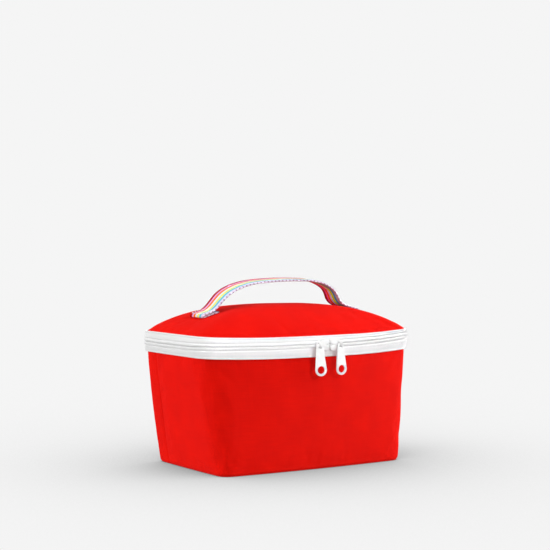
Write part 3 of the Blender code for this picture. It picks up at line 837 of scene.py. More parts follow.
def binding_section(outer_leg, inner_leg, edge, fold, sign):
    """A folded tape over an edge: sign 1 covers an upper edge, -1 a lower one."""
    thick = 0.0008
    inner_face = -FILM_FACES[1] - 0.0003
    points = []
    for height, out in (
        (edge - outer_leg * sign, -0.0003),
        (edge - fold * sign, -0.0003),
        (edge - fold * 0.3 * sign, -0.0010),
        (edge, -0.0024),
        (edge, (inner_face - thick) + 0.0020),
        (edge - fold * 0.3 * sign, inner_face - thick + 0.0006),
        (edge - fold * sign, inner_face - thick),
        (edge - (inner_leg - 0.0006) * sign, inner_face - thick),
        (edge - inner_leg * sign, inner_face - thick * 0.5),
        (edge - (inner_leg - 0.0004) * sign, inner_face),
        (edge - thick * sign, inner_face),
        (edge - thick * sign, -0.0003 - 0.0005),
    ):
        points.append((height, out))
    return lambda s: points


def make_bindings(tape, white_thread):
    """The tapes over the raw edges of the bag's rim and of the lid, each with a row of stitches inside."""
    lid_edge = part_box("lid_binding")[0].z
    for name, node, body, edge, sign, under in (
        ("rim_binding_tape", "rim_binding", "bag", WALL_TOP, 1, "wall_film"),
        ("lid_binding_tape", "lid_binding", "lid", lid_edge, -1, "lid_film"),
    ):
        leg = 0.0068 if sign == 1 else 0.0044
        section = binding_section(0.0010, leg, edge, 0.0016, sign)
        mesh = sweep_mesh(name, ring_stations(0.003), section, wrap=True)
        made = finish_mesh(name, mesh, tape, body, (node,))
        out = -FILM_FACES[1] - 0.0011
        height = edge - (leg - 0.0017) * sign

        def place(s, height=height, out=out):
            return wall_point(s, height, out), Vector((*-flat_at(s, BAND_BOTTOM)[1], 0.0))

        mesh = stitches_mesh(f"{name}_stitches", place, -BACK_MIDDLE + 0.001, BACK_MIDDLE - 0.001)
        finish_mesh(f"{name}_stitches", mesh, white_thread, body)


def make_base(red):
    low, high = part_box("base_panel")
    rings = (1.0, 0.985, 0.9, 0.7, 0.4)
    mesh = slab_mesh("base_cover", low.z, high.z - 0.0001, 0.0014, rings=rings)
    made = finish_mesh("base_cover", mesh, red, "bag", ("base_panel",))


# ---------------------------------------------------------------- zip

EDGE_BEAD = (
    (0.0, 0.0004), (0.0001, 0.0014), (0.0005, 0.0022), (0.0010, 0.0023), (0.0015, 0.0021), (0.0021, 0.0021),
)
RIDGE_START = 0.0042
# The ridge over the coil, from its groove inwards: distance from the middle line, and added height.
RIDGE = (
    (0.0042, 0.0), (0.0038, -0.0003), (0.0034, -0.00075), (0.0030, -0.0004), (0.0026, 0.0001),
    (0.0020, 0.00028), (0.0013, 0.0003), (0.0008, 0.00014), (0.0004, -0.00025), (0.0002, -0.0005),
    (0.0001, -0.0008),
)
TAPE_MIDDLE_SHARES = (0.2, 0.4, 0.6, 0.8)
TAPE_SHEET = 0.0007


def tape_lift(share):
    return 0.0020 + (TAPE_LIFT - 0.0020) * math.sin(min(share, 1.0) * math.pi / 2)


def zip_tape_section(edge, sign):
    """One half of the zip: sign 1 is the lower tape, whose sewn edge is below, and -1 the upper one."""

    def section(s):
        length = (zip_line(s) - edge) * sign
        rib = 0.00010 * math.cos(math.tau * s / COIL_PITCH)
        outer = list(EDGE_BEAD)
        first = EDGE_BEAD[-1][0]
        last = length - RIDGE_START
        for share in TAPE_MIDDLE_SHARES:
            along = first + (last - first) * share
            outer.append((along, tape_lift(along / length)))
        for distance, added in RIDGE:
            ribbed = rib if 0.0006 < distance < 0.0028 else 0.0
            outer.append((length - distance, tape_lift(1 - distance / length) + added + ribbed))
        inner = [
            (length - 0.0001, tape_lift(1.0) - 0.0015),
            (length - 0.0034, tape_lift(1.0) - 0.0015),
            (length * 0.5, tape_lift(0.5) - TAPE_SHEET),
            (length * 0.2, tape_lift(0.2) - TAPE_SHEET),
            (0.0004, 0.0004),
        ]
        return [(edge + along * sign, out) for along, out in outer + inner]

    return section


def make_tapes(tape):
    stations = spaced(-ZIP_END, ZIP_END, COIL_PITCH / 4)
    for name, node, body, edge, sign, cover in (
        ("lower_tape", "lower_zip_tape", "bag", BAND_BOTTOM, 1, "front_wall_cover"),
        ("upper_tape", "upper_zip_tape", "lid", BAND_TOP, -1, "lid_cover"),
    ):
        mesh = sweep_mesh(name, stations, zip_tape_section(edge, sign))
        made = finish_mesh(name, mesh, tape, body, (node,))


def make_coils(nylon):
    """The two coils behind the tapes: flattened helixes whose heads lie between each other."""
    turns = int(2 * ZIP_END / COIL_PITCH)
    steps = 10
    for name, node, body, sign, phase in (
        ("lower_coil", "lower_zip_coil", "bag", -1, 0.0),
        ("upper_coil", "upper_zip_coil", "lid", 1, 0.5),
    ):
        path = []
        for k in range(turns * steps + 1):
            turn = k / steps
            s = -ZIP_END + turn * COIL_PITCH
            angle = math.tau * (turn + phase)
            middle = zip_line(s) + 0.0008 * sign
            height = middle - 0.00105 * math.cos(angle) * sign
            out = 0.00105 + 0.00042 * math.sin(angle)
            path.append(wall_point(s, height, out))
        mesh = tube_mesh(name, path, COIL_WIRE, sides=6)
        finish_mesh(name, mesh, nylon, body, (node,))


def make_zip_ends(tape):
    """A folded tab of tape over each end of the zip, on the bag."""
    for side, sign in (("left", -1), ("right", 1)):
        first, last = ZIP_END + 0.0004, ZIP_END + 0.0042
        low, high = BAND_BOTTOM + 0.0052, ZIP_MIDDLE - 0.0004
        half = (high - low) / 2
        middle = (high + low) / 2

        def section(s, sign=sign):
            inward = min(abs(s) - first, last - abs(s))
            swell = 0.7 + 0.3 * smooth(inward / 0.0008)
            points = []
            for k in range(14):
                angle = math.tau * k / 14
                up = signed_power(math.sin(angle), 0.6) * half * swell
                out = 0.0024 + signed_power(math.cos(angle), 0.6) * 0.0015 * swell
                points.append((middle + up, out))
            return points

        stations = spaced(first * sign, last * sign, 0.0004 * sign)
        mesh = sweep_mesh(f"zip_tab_{side}", stations, section)
        finish_mesh(f"zip_tab_{side}", mesh, tape, "bag", (f"zip_stop_{side}",))


# The hinge strip's ends are tucked under the zip tapes, where they lie flat.
HINGE_TUCK = 0.0030
TUCKED_OUT = 0.0009
HINGE_SEWN = 0.0066


def make_hinge(red, red_thread):
    """The strip at the back between the zip's ends, where the lid hinges, with its two rows of stitches."""
    first = ZIP_END - HINGE_TUCK
    last = RIM_LENGTH - first
    stations = spaced(first, last, 0.0025)
    places = [wrapped_place(s) for s in stations]
    height = BAND_TOP - BAND_BOTTOM
    levels = [k / 18 for k in range(19)]

    def out(share, s):
        bead = 0.0003 * math.exp(-((min(share, 1 - share) - 0.05) / 0.03) ** 2)
        ripple = noise.noise(Vector((s * 60, share * 2, 7.0))) * 0.0003
        full = 0.0012 + 0.0020 * math.sin(share * math.pi) ** 0.8 + bead + ripple
        return TUCKED_OUT + (full - TUCKED_OUT) * smooth((abs(s) - first - 0.0035) / 0.0040)

    outer = [[wall_point(s, BAND_BOTTOM + height * share, out(share, s)) for s in places] for share in levels]
    inner = [
        [wall_point(s, BAND_BOTTOM + height * share, max(out(share, s) - 0.0009, 0.0004)) for s in places]
        for share in reversed(levels)
    ]

    def uv(row, column):
        return stations[column], (row if row < 19 else 38 - row) * height / 18

    mesh = grid_mesh("hinge_strip", outer + inner, uv, wrap_rows=True, caps=True)
    made = finish_mesh("hinge_strip", mesh, red, None, ("fabric_hinge",))
    start, end = (0.0, CENTRE_Y, BAND_BOTTOM + 0.003), (0.0, CENTRE_Y, BAND_TOP - 0.003)
    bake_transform(made)
    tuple(start)
    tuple(end)
    rows = []
    sewn = ZIP_END + HINGE_SEWN
    for number, share in enumerate((0.14, 0.86)):

        def place(s, share=share):
            wrapped = wrapped_place(s)
            point = wall_point(wrapped, BAND_BOTTOM + height * share, out(share, wrapped))
            return point, Vector((*flat_at(wrapped, BAND_BOTTOM)[1], 0.0))

        rows.append(stitches_mesh(f"hinge_row_{number}", place, sewn, RIM_LENGTH - sewn))
    mesh = join_meshes("hinge_stitches", rows)
    made = finish_mesh("hinge_stitches", mesh, red_thread, None)
    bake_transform(made)
    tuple(start)
    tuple(end)


# ---------------------------------------------------------------- lid

def dome(ring, depth=0.0):
    return (LID_RISE - depth) * (1 - min(ring, 1.0) ** DOME_POWER) ** DOME_ROOT


def dome_point(s, ring, depth):
    flat, outward = flat_at(s, BAND_TOP)
    edge = flat - outward * depth
    centre = Vector((0.0, CENTRE_Y))
    place = centre + (edge - centre) * ring
    rise = corner_rise(flat.x) * ring ** 4
    return Vector((place.x, place.y, BAND_TOP + dome(ring, depth) + rise))


def lid_height(x, y):
    """Height of the lid's face over a point, without its small waves."""
    direction = Vector((x, y - CENTRE_Y))
    if direction.length < 1e-6:
        return BAND_TOP + LID_RISE
    # The outline in that direction, found by halving.
    first, last = 0.0, BACK_MIDDLE
    wanted = math.atan2(direction.y, abs(direction.x))
    for _ in range(30):
        middle = (first + last) / 2
        flat = flat_at(middle, BAND_TOP)[0]
        if math.atan2(flat.y - CENTRE_Y, flat.x) < wanted:
            first = middle
        else:
            last = middle
    flat = flat_at((first + last) / 2, BAND_TOP)[0]
    ring = direction.length / (flat - Vector((0.0, CENTRE_Y))).length
    return BAND_TOP + dome(ring) + corner_rise(flat.x) * ring ** 4


def dome_rings(count):
    """Shares of the outline from the rim to near the middle, closer together near the steep rim."""
    return [1 - 0.96 * (1 - math.cos(math.pi / 2 * k / count)) for k in range(count + 1)]


def dome_rows(stations, rings, depth, bottom, waves):
    rows = [[wall_point(s, z, -depth) for s in stations] for z in (bottom, (bottom + BAND_TOP) / 2)]
    for ring in rings:
        row = []
        for s in stations:
            point = dome_point(s, ring, depth)
            point.z += waves(point) * smooth((1 - ring) / 0.12)
            row.append(point)
        rows.append(row)
    return rows


def dome_uv(rows):
    """The cloth's place of a dome's point: its direction from the middle, at its distance along the dome."""
    pole = Vector((0.0, CENTRE_Y, rows[-1][0].z))

    @lru_cache(maxsize=200000)
    def uv(row, column):
        column %= len(rows[0])
        if row >= len(rows):
            return 0.0, 0.0
        travelled = (rows[-1][column].xy - pole.xy).length
        for k in range(row, len(rows) - 1):
            travelled += (rows[k][column] - rows[k + 1][column]).length
        direction = (rows[row][column].xy - pole.xy).normalized()
        return direction.x * travelled, direction.y * travelled

    return uv


FOOT_MIDDLE_X = FOOT_END_X - 0.0075


def lid_waves(point):
    """The lid's small waves: puckers round the sewn handle feet and a soft fold near the rim."""
    wave = noise.noise(Vector((point.x * 16, point.y * 20, 1.0))) * 0.0009
    for side in (-1, 1):
        across = Vector((point.x - FOOT_MIDDLE_X * side, point.y - CENTRE_Y))
        reach = max(abs(across.x) - 0.008, abs(across.y) - 0.0125, 0.0)
        wave -= 0.0009 * math.exp(-(reach / 0.006) ** 2)
        if reach > 0.0:
            angle = math.atan2(across.y, across.x)
            wave += 0.0004 * math.sin(angle * 11) * math.exp(-(reach / 0.010) ** 2) * smooth(reach / 0.002)
    return wave


def make_lid(red, film, foam):
    stations = ring_stations(0.0035)
    rings = dome_rings(34)
    rows = dome_rows(stations, rings, 0.0, LID_SKIRT, lid_waves)
    pole = Vector((0.0, CENTRE_Y, BAND_TOP + LID_RISE))
    mesh = grid_mesh("lid_cover", rows, dome_uv(rows), wrap=True, pole=pole)
    cover = finish_mesh("lid_cover", mesh, red, "lid", ("lid_panel",), closed=False)
    sewn = list(range(len(stations) * 4))
    for vertex in mesh.vertices:
        for side in (-1, 1):
            near_x = abs(vertex.co.x - FOOT_MIDDLE_X * side) < 0.008
            if near_x and abs(vertex.co.y - CENTRE_Y) < 0.0125:
                sewn.append(vertex.index)
    simulate_cover(cover, sewn, pressure=0.9, slack=0.003, cap=0.0012)
    thicken(cover, SKIN)

    def still(_):
        return 0.0

    def crinkle(point):
        return noise.noise(point * 26) * 0.0007

    def under_cover(point):
        return min(lid_waves(point), 0.0)

    def shell(name, faces, bottom, waves, material, node):
        outer = dome_rows(stations[::2], dome_rings(20), faces[0], bottom, waves[0])
        inner = dome_rows(stations[::2], dome_rings(20), faces[1], bottom, waves[1])
        rows = outer[::-1] + inner
        uv_of = dome_uv(inner)

        def uv(row, column):
            return uv_of(len(outer) - 1 - row if row < len(outer) else row - len(outer), column)

        mesh = grid_mesh(name, rows, uv, wrap=True)
        close_ends(mesh, rows, Vector((0.0, CENTRE_Y)))
        return finish_mesh(name, mesh, material, "lid", (node,))

    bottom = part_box("lid_foam")[0].z
    waves = (under_cover, still)
    shell("lid_padding", PADDING_FACES, bottom, waves, foam, "lid_foam")
    made = shell("lid_film", FILM_FACES, bottom, (still, crinkle), film, "lid_lining")


# ---------------------------------------------------------------- handle

STRAP_WIDTH = STRAP_HIGH.y - STRAP_LOW.y
STRAP_THICK = 0.0019
PICOT_PITCH = 0.0042
FOLD_GAP = 0.0002
# The arch's middle line in the XZ plane. It leans a little to the left, as soft webbing does.
LEFT_LEG = (
    (-0.0787, 0.1529), (-0.0747, 0.1562), (-0.0701, 0.1610), (-0.0648, 0.1660), (-0.0588, 0.1700),
    (-0.0520, 0.1731), (-0.0440, 0.1757), (-0.0290, 0.1785),
)
RIGHT_LEG = (
    (0.0290, 0.1796), (0.0400, 0.1784), (0.0480, 0.1762), (0.0551, 0.1731), (0.0607, 0.1693),
    (0.0643, 0.1643), (0.0669, 0.1590), (0.0712, 0.1548),
)
ARCH_TOP = (0.0, STRAP_HIGH.z - 0.0010)


def curve_through(points, step):
    """A smooth curve through points, as points about a step apart."""
    ends = [points[0] * 2 - points[1]] + points + [points[-1] * 2 - points[-2]]
    fine = []
    for a, b, c, d in zip(ends, ends[1:], ends[2:], ends[3:]):
        for k in range(24):
            t = k / 24
            fine.append(0.5 * (
                2 * b + (c - a) * t + (2 * a - 5 * b + 4 * c - d) * t * t + (3 * b - a - 3 * c + d) * t ** 3
            ))
    fine.append(points[-1])
    lengths = [0.0]
    for first, second in zip(fine, fine[1:]):
        lengths.append(lengths[-1] + (second - first).length)
    even = []
    at = 0
    for wanted in spaced(0.0, lengths[-1], step):
        while at < len(fine) - 2 and lengths[at + 1] < wanted:
            at += 1
        share = (wanted - lengths[at]) / max(lengths[at + 1] - lengths[at], 1e-9)
        even.append(fine[at].lerp(fine[at + 1], share))
    return even


def strap_path():
    """The webbing's middle line in the XZ plane: a folded foot, the arch and the other folded foot."""
    lower = STRAP_THICK / 2 + 0.0002
    upper = lower + STRAP_THICK + FOLD_GAP
    half = []
    for x in (0.0745, 0.0785, 0.0825, 0.0865, 0.0902):
        half.append(Vector((x, lid_height(x, CENTRE_Y) - 0.0006 + lower)))
    fold = half[-1] + Vector((0.0019, (upper - lower) / 2 - 0.0012))
    half.append(fold)
    for x in (0.0906, 0.0865, 0.0825, 0.0792):
        half.append(Vector((x, lid_height(x, CENTRE_Y) - 0.0006 + upper)))
    arch = [Vector(p) for p in (*LEFT_LEG, ARCH_TOP, *RIGHT_LEG)]
    return curve_through([Vector((-p.x, p.y)) for p in half[:-1]] + arch + half[::-1], 0.0007)


def make_webbing(face, reverse):
    """One strip of webbing: its feet on the lid and its arch, built as one piece."""
    path = strap_path()
    across = [k / 24 for k in range(25)]
    step = (path[1] - path[0]).length
    tops = []
    bottoms = []
    for k, point in enumerate(path):
        before, after = path[max(k - 1, 0)], path[min(k + 1, len(path) - 1)]
        along = (after - before).normalized()
        normal = Vector((-along.y, along.x))
        picot = 0.00028 * max(0.0, math.sin(math.tau * k * step / PICOT_PITCH))
        arch = smooth((point.y - 0.156) / 0.015)
        top, bottom = [], []
        for share in across:
            edge = min(share, 1 - share)
            y = CENTRE_Y + (0.5 - share) * STRAP_WIDTH
            y += picot * (1 if share < 0.5 else -1) * (1.0 if edge < 0.01 else 0.0)
            thin = 0.5 + 0.5 * smooth(edge / 0.05)
            stripe = 0.00006 * math.cos(math.tau * share * 7)
            droop = 0.0007 * arch * (0.5 - share) * 2
            for line, sign in ((top, 1), (bottom, -1)):
                lift = (STRAP_THICK / 2 * thin - stripe) * sign + droop
                place = point + normal * lift
                line.append(Vector((place.x, y, place.y)))
        tops.append(top)
        bottoms.append(bottom)
    rows = [top + bottom[::-1] for top, bottom in zip(tops, bottoms)]
    count = len(rows[0])

    def uv(row, column):
        share = column if column < 25 else 49 - column
        return row * step, max(share, 0) / 24 * STRAP_WIDTH

    mesh = grid_mesh("handle_webbing", rows, uv, wrap=True)
    work = bmesh.new()
    work.from_mesh(mesh)
    work.verts.ensure_lookup_table()
    for first in (0, (len(rows) - 1) * count):
        work.faces.new([work.verts[first + k] for k in range(count)])
    work.to_mesh(mesh)
    work.free()
    webbing = finish_mesh(
        "handle_webbing", mesh, face, None,
        ("handle_strap", "handle_foot_left", "handle_foot_right"),
    )
    mesh.materials.append(reverse)
    for polygon in mesh.polygons:
        columns = [v % count for v in polygon.vertices]
        if min(columns) >= 25 and len(columns) == 4:
            polygon.material_index = 1
    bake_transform(webbing)
    return path


def make_foot_stitches(white_thread):
    """A sewn rectangle on each foot."""
    lift = STRAP_THICK * 2 + FOLD_GAP - 0.0006 + 0.0002
    for side, sign in (("left", -1), ("right", 1)):
        rows = []
        near, far = 0.0800, FOOT_END_X - 0.0035
        half = STRAP_WIDTH / 2 - 0.0022

        def on_foot(x, y):
            here = lid_height(x, CENTRE_Y)
            slope = (lid_height(x + 0.0005, CENTRE_Y) - lid_height(x - 0.0005, CENTRE_Y)) / 0.001
            normal = Vector((-slope * sign, 0.0, 1.0)).normalized()
            return Vector((x * sign, y, here)) + normal * lift, normal

        for number, x in enumerate((near, far)):
            rows.append(stitches_mesh(
                f"foot_{side}_{number}", lambda t, x=x: on_foot(x, CENTRE_Y + t), -half, half, pitch=0.0026,
            ))
        for number, y in enumerate((-half, half)):
            rows.append(stitches_mesh(
                f"foot_{side}_{number + 2}", lambda t, y=y: on_foot(t, CENTRE_Y + y), near, far, pitch=0.0026,
            ))
        mesh = join_meshes(f"foot_stitches_{side}", rows)
        finish_mesh(f"foot_stitches_{side}", mesh, white_thread, "lid")


# ---------------------------------------------------------------- sliders and pulls

SLIDER_SIZE = Vector((0.0156, 0.0, 0.0115))
PLATE_FACES = (0.0040, 0.0056)
NOTCH = 0.0016
PULL_TURN = {"left": math.radians(-11.0), "right": math.radians(0.0)}
# How far each pull and its bridge sit along the bridge's bar from the joint's point.
PULL_SHIFT = {"left": -0.0021, "right": -0.0013}


def slider_outline():
    """The slider's plan: a heart with two lobes at its nose and a narrower tail, as (u, w)."""
    half_nose = SLIDER_SIZE.z / 2
    half_tail = 0.0043
    length = SLIDER_SIZE.x
    upper = [
        (NOTCH, 0.0), (0.0006, 0.0010), (0.0001, 0.0024), (0.0004, 0.0042), (0.0016, 0.0054),
        (0.0034, half_nose), (0.0062, 0.0056), (0.0095, 0.0049), (0.0130, half_tail), (0.0146, 0.0036),
        (length - 0.0001, 0.0022), (length, 0.0),
    ]
    points = [Vector(p) for p in upper]
    even = curve_through(points, 0.0006)
    lower = [Vector((p.x, -p.y)) for p in reversed(even[1:-1])]
    return even + lower


def place_on_track(side):
    """A slider's frame: x along the zip, -y out of the front from the front arc's middle, z up."""
    node_low, node_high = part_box(f"slider_{side}_body")
    middle = Vector(SLIDER_TURN)
    other = {"left": "right", "right": "left"}[side]
    other_low, other_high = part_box(f"slider_{other}_body")
    meeting = (max(node_low.x, other_low.x) + min(node_high.x, other_high.x)) / 2
    radius = arcs(BAND_BOTTOM)[0][1]
    return Matrix.Translation(middle) @ Matrix.Rotation(meeting / radius, 4, "Z"), radius


def make_slider(side, sign, lacquer):
    track, radius = place_on_track(side)
    outline = slider_outline()
    centre = Vector((SLIDER_SIZE.x * 0.5, 0.0))
    back, front = PLATE_FACES
    # The plate's rings, from its inner face over its rounded edge to its crowned face: size, and height.
    rings = (
        (0.90, back - 0.0012), (0.985, back - 0.0010), (1.0, back), (1.0, front - 0.0007),
        (0.975, front - 0.0002), (0.92, front), (0.82, front + 0.00012), (0.66, front + 0.00022),
        (0.45, front + 0.0003), (0.2, front + 0.0003),
    )
    rows = []
    for size, v in rings:
        row = []
        for p in outline:
            at = centre + (p - centre) * size
            near_nose = smooth((0.0062 - at.x) / 0.004)
            crease = hollow = 0.0
            if v > front - 0.0003:
                crease = 0.0009 * math.exp(-(at.y / 0.0008) ** 2) * near_nose
                hollow = 0.0005 * math.exp(-((abs(at.y) - 0.0001) / 0.0016) ** 2) * near_nose
            row.append(track @ Vector(((0.0003 + at.x) * sign, -(radius + v - crease - hollow), at.y)))
        rows.append(row)
    pole = track @ Vector(((0.0003 + centre.x) * sign, -(radius + front + 0.0003), 0.0))

    def uv(row, column):
        return column * 0.0006, row * 0.0005

    plate = grid_mesh(f"slider_plate_{side}", rows, uv, wrap=True, pole=pole)
    work = bmesh.new()
    work.from_mesh(plate)
    work.verts.ensure_lookup_table()
    work.faces.new([work.verts[k] for k in range(len(outline))])
    work.to_mesh(plate)
    work.free()

    half_back = 0.0040
    inner = []
    for v in (-0.0004, 0.0008):
        ring = []
        for k in range(28):
            angle = math.tau * k / 28
            u = 0.0075 + 0.0068 * signed_power(math.cos(angle), 0.5)
            w = half_back * signed_power(math.sin(angle), 0.5)
            ring.append(track @ Vector(((0.0003 + u) * sign, -(radius + v), w)))
        inner.append(ring)
    back_plate = closed_prism(f"slider_back_{side}", inner)
    post = []
    for v in (0.0004, 0.0046):
        ring = []
        for k in range(12):
            angle = math.tau * k / 12
            u = 0.0019 + 0.0011 * math.cos(angle)
            ring.append(track @ Vector((u * sign, -(radius + v), 0.0006 * math.sin(angle))))
        post.append(ring)
    post_mesh = closed_prism(f"slider_post_{side}", post)

    pivot = Vector(JOINTS[f"pull_{side}_swing"]["pos_m"])
    local = track.inverted() @ pivot
    rise = local.z
    bar = []
    reach = -local.y - radius
    bar.append(Vector((front - 0.0008, BRIDGE_RADIUS)))
    for degrees in range(90, -91, -30):
        angle = math.radians(degrees)
        bar.append(Vector((reach + BRIDGE_RADIUS * math.cos(angle), BRIDGE_RADIUS * math.sin(angle))))
    bar.append(Vector((front - 0.0008, -BRIDGE_RADIUS)))
    at = local.x + PULL_SHIFT[side]
    bar = [track @ Vector((at, -(radius + p.x), rise + p.y)) for p in curve_through(bar, 0.0003)]
    across = (track.to_3x3() @ Vector((1, 0, 0))).normalized()
    bridge = tube_mesh(f"slider_bridge_{side}", bar, 0.0011, sides=14, squash=0.55, across=across)
    mesh = join_meshes(f"slider_{side}", [plate, back_plate, post_mesh, bridge])
    finish_mesh(f"slider_{side}", mesh, lacquer, f"slider_{side}", (f"slider_{side}_body",))


def closed_prism(name, loops):
    """A closed body between loops of points, with an outward bevel left to the shading."""
    mesh = grid_mesh(name, loops, lambda row, column: (0.0, 0.0), wrap=True)
    work = bmesh.new()
    work.from_mesh(mesh)
    work.verts.ensure_lookup_table()
    count = len(loops[0])
    for first in (0, (len(loops) - 1) * count):
        work.faces.new([work.verts[first + k] for k in range(count)])
    work.to_mesh(mesh)
    work.free()
    return mesh


PULL_END_RADIUS = 0.0059
PULL_TOP = (0.0034, 0.0013)
PULL_HOLE_RADIUS = 0.0037
PULL_HOLE_DOWN = 0.0238
PULL_LEAN = math.radians(4.0)
WINDOW_DOWN = 0.0024
WINDOW_SIZE = (0.0016, 0.0013)
BRIDGE_RADIUS = 0.0020
PULL_HALF_THICK = 0.0008
PULL_BEVEL = 0.00032


def pull_loops():
    """The pull's outline, its hole and its window, each a closed list of (x, z) from the pivot."""
    outer = []
    bottom = Vector((0.0, -PULL_HOLE_DOWN))
    top = Vector((0.0, PULL_TOP[1] - 0.0022))
    for k in range(33):
        angle = math.pi + math.pi * k / 32
        outer.append(bottom + Vector((math.cos(angle), math.sin(angle))) * PULL_END_RADIUS)
    for k in range(25):
        angle = math.pi * k / 24
        across = signed_power(math.cos(angle), 0.8)
        outer.append(top + Vector((across * PULL_TOP[0], math.sin(angle) ** 0.8 * 0.0022)))
    hole = []
    window = []
    half_wide, half_high = WINDOW_SIZE
    for k in range(40):
        angle = math.tau * k / 40
        hole.append(bottom + Vector((math.cos(angle), math.sin(angle))) * PULL_HOLE_RADIUS)
        window.append(Vector((math.cos(angle) * half_wide, math.sin(angle) * half_high - WINDOW_DOWN)))
    return outer, hole, window


def make_pull(side, lacquer):
    """A long flat tab with rounded edges, a raised rim round its hole, and a window for the bridge."""
    axis = -Vector(JOINTS[f"pull_{side}_swing"]["axis"])
    pivot = Vector(JOINTS[f"pull_{side}_swing"]["pos_m"]) + axis.normalized() * PULL_SHIFT[side]
    turned = Matrix.Rotation(PULL_TURN[side], 4, "Z")
    frame_of = Matrix.Translation(pivot) @ turned @ Matrix.Rotation(math.atan2(axis.y, axis.x), 4, "Z")
    frame_of = frame_of @ Matrix.Rotation(-PULL_LEAN, 4, "Y")
    outer, hole, window = pull_loops()
    curve = bpy.data.curves.new(f"pull_{side}", "CURVE")
    curve.dimensions = "2D"
    curve.fill_mode = "BOTH"
    curve.extrude = PULL_HALF_THICK - PULL_BEVEL
    curve.bevel_depth = PULL_BEVEL
    curve.bevel_resolution = 4
    curve.offset = -PULL_BEVEL
    for loop in (outer, hole, window):
        spline = curve.splines.new("POLY")
        spline.points.add(len(loop) - 1)
        for target, p in zip(spline.points, loop):
            target.co = (p.x, p.y, 0.0, 1.0)
        spline.use_cyclic_u = True
    guide = bpy.data.objects.new(f"pull_guide_{side}", curve)
    bpy.context.collection.objects.link(guide)
    bpy.context.view_layer.update()
    tab = bpy.data.meshes.new_from_object(guide.evaluated_get(bpy.context.evaluated_depsgraph_get()))
    bpy.data.objects.remove(guide)
    tab.transform(Matrix.Rotation(math.pi / 2, 4, "X"))

    centre = Vector((0.0, -PULL_HOLE_DOWN))
    wide = [centre + (p - centre) * 1.16 for p in hole]
    face = -PULL_HALF_THICK + 0.0001
    path = [Vector((p.x, face, p.y)) for p in wide]
    rim = tube_mesh(f"pull_rim_{side}", path, 0.00042, sides=8, closed=True)
    mesh = join_meshes(f"pull_{side}", [tab, rim])
    mesh.transform(frame_of)
    made = finish_mesh(f"pull_{side}", mesh, lacquer, f"pull_{side}", (f"pull_tab_{side}",))
    mesh.set_sharp_from_angle(angle=math.radians(50))
    return made


# ---------------------------------------------------------------- stage

def make_floor():
    """A wide pale floor that glows as bright as the background far away, with painted shadow: ambient
    occlusion darkens its glow round the bag.
    """
    mesh = bpy.data.meshes.new("floor")
    size = 6.0
    corners = [(-size, -size, 0), (size, -size, 0), (size, size, 0), (-size, size, 0)]
    mesh.from_pydata(corners, [], [(0, 1, 2, 3)])
    floor = bpy.data.objects.new("floor", mesh)
    bpy.context.collection.objects.link(floor)
    floor.location.z = -0.0001
    made = bpy.data.materials.new("pale_floor")
    made.use_nodes = True
    tree = made.node_tree
    # Painted shadow: the glow the camera sees is darkened by ambient occlusion; other rays see an even glow.
    open_sky = wire(tree, "ShaderNodeAmbientOcclusion", {"Distance": 1.0}, output=1, samples=8)
    seen = maths(tree, "MULTIPLY", open_sky, BACKDROP)
    camera_ray = wire(tree, "ShaderNodeLightPath")
    strength = wire(
        tree, "ShaderNodeMix", {0: camera_ray, 2: FLOOR_BOUNCE, 3: seen}, data_type="FLOAT"
    )
    glow = wire(tree, "ShaderNodeEmission", {"Strength": strength})
    tree.links.new(glow, tree.nodes["Material Output"].inputs["Surface"])
    mesh.materials.append(made)


def add_sun(name, azimuth, elevation, strength, softness):
    """A soft distant light. Azimuth 0 shines from -Y and 90 from +X."""
    light = bpy.data.lights.new(name, "SUN")
    light.energy = strength * math.pi
    light.angle = math.radians(softness)
    made = bpy.data.objects.new(name, light)
    bpy.context.collection.objects.link(made)
    a, e = math.radians(azimuth), math.radians(elevation)
    towards = Vector((math.sin(a) * math.cos(e), -math.cos(a) * math.cos(e), math.sin(e)))
    made.rotation_mode = "QUATERNION"
    made.rotation_quaternion = towards.to_track_quat("Z", "Y")
    return made


def link_light(light, state):
    """Lets a light reach only the white pieces, or everything but them."""
    receivers = bpy.data.collections.new(f"{light.name}_receivers")
    for name in WHITE_PIECES:
        receivers.objects.link(bpy.data.objects[name])
    for item in receivers.collection_objects:
        item.light_linking.link_state = state
    light.light_linking.receiver_collection = receivers


def make_lights():
    world = bpy.data.worlds.new("studio")
    bpy.context.scene.world = world
    world.use_nodes = True
    tree = world.node_tree
    background = tree.nodes["Background"]
    seen = wire(tree, "ShaderNodeLightPath")
    strength = wire(tree, "ShaderNodeMix", {0: seen, 2: WORLD_LIGHT, 3: BACKDROP}, data_type="FLOAT")
    tree.links.new(strength, background.inputs["Strength"])
    background.inputs["Color"].default_value = (1.0, 1.0, 1.0, 1.0)
    for settings in SUNS:
        add_sun(*settings)
    for settings in SIDE_SUNS:
        link_light(add_sun(*settings), "EXCLUDE")
    for settings in FILL_SUNS:
        link_light(add_sun(*settings), "INCLUDE")


BACKDROP = 0.913
WORLD_LIGHT = 0.60
FLOOR_BOUNCE = 0.50
SUNS = (
    ("key_light", 20, 25, 0.44, 10),
    ("top_light", -20, 78, 0.23, 40),
)
# Lights from the sides that miss the white pieces, and fills that reach only them.
SIDE_SUNS = (
    ("left_light", -110, 12, 1.03, 42),
    ("right_light", 75, 10, 0.96, 30),
)
FILL_SUNS = (
    ("front_fill", 0, -15, 0.34, 120),
    ("left_fill", -105, 0, 0.66, 90),
)


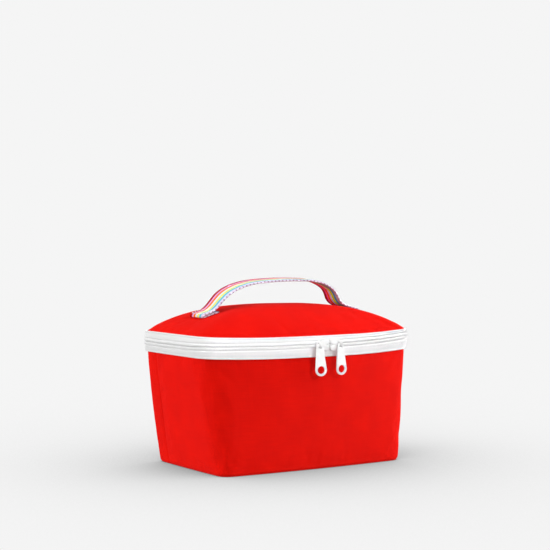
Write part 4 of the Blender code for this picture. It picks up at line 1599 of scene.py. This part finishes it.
WHITE_PIECES = (
    "lower_tape", "upper_tape", "slider_left", "slider_right", "pull_left", "pull_right", "handle_webbing"
)


def make_camera():
    azimuth, elevation, distance = math.radians(-32.73), math.radians(5.74), 1.5217
    aim = Vector((0.0, CENTRE_Y + 0.0012, 0.08))
    back = Vector((
        math.sin(azimuth) * math.cos(elevation), -math.cos(azimuth) * math.cos(elevation), math.sin(elevation)
    ))
    data = bpy.data.cameras.new("camera")
    data.sensor_width = 36.0
    data.lens = 99.73
    data.shift_x = -0.0030
    data.shift_y = 0.1909
    made = bpy.data.objects.new("camera", data)
    bpy.context.collection.objects.link(made)
    made.location = aim + back * distance
    made.rotation_mode = "QUATERNION"
    made.rotation_quaternion = (-back).to_track_quat("-Z", "Y")
    bpy.context.scene.camera = made


def main():
    bpy.context.scene.view_settings.view_transform = "Standard"
    make_camera()
    make_floor()

    red = woven_cloth(
        "red_polyester", light=(0.71, 0.0042, 0.0006), dark=(0.58, 0.0022, 0.0004),
        pitch=0.00058, relief=0.00010, roughness=0.88, sheen=0.0,
    )
    tape = zip_tape_cloth()
    nylon = moulded_coil()
    lacquer = white_lacquer()
    film = silver_film()
    foam = closed_foam()
    white_thread = thread("white_thread", (0.90, 0.90, 0.89), (0.72, 0.72, 0.71))
    red_thread = thread("red_thread", (0.90, 0.010, 0.004), (0.60, 0.004, 0.002))

    make_wall_cover("front_wall_cover", "front_wall_panel", -WALL_SEAM, WALL_SEAM, red)
    make_wall_cover("back_wall_cover", "back_wall_panel", WALL_SEAM, RIM_LENGTH - WALL_SEAM, red)
    make_base(red)
    make_padding(foam)
    make_linings(film)
    make_bindings(tape, white_thread)
    make_tapes(tape)
    make_coils(nylon)
    make_zip_ends(tape)
    make_hinge(red, red_thread)
    make_lid(red, film, foam)
    # The face's stripes hold painted highlight as well as the yarn's own colours.
    face = striped_webbing("webbing_face_painted_highlight", FACE_STRIPES_WITH_PAINTED_HIGHLIGHT)
    make_webbing(face, striped_webbing("webbing_reverse", REVERSE_STRIPES))
    make_foot_stitches(white_thread)
    for side, sign in (("left", -1), ("right", 1)):
        make_slider(side, sign, lacquer)
        make_pull(side, lacquer)
    make_lights()


main()
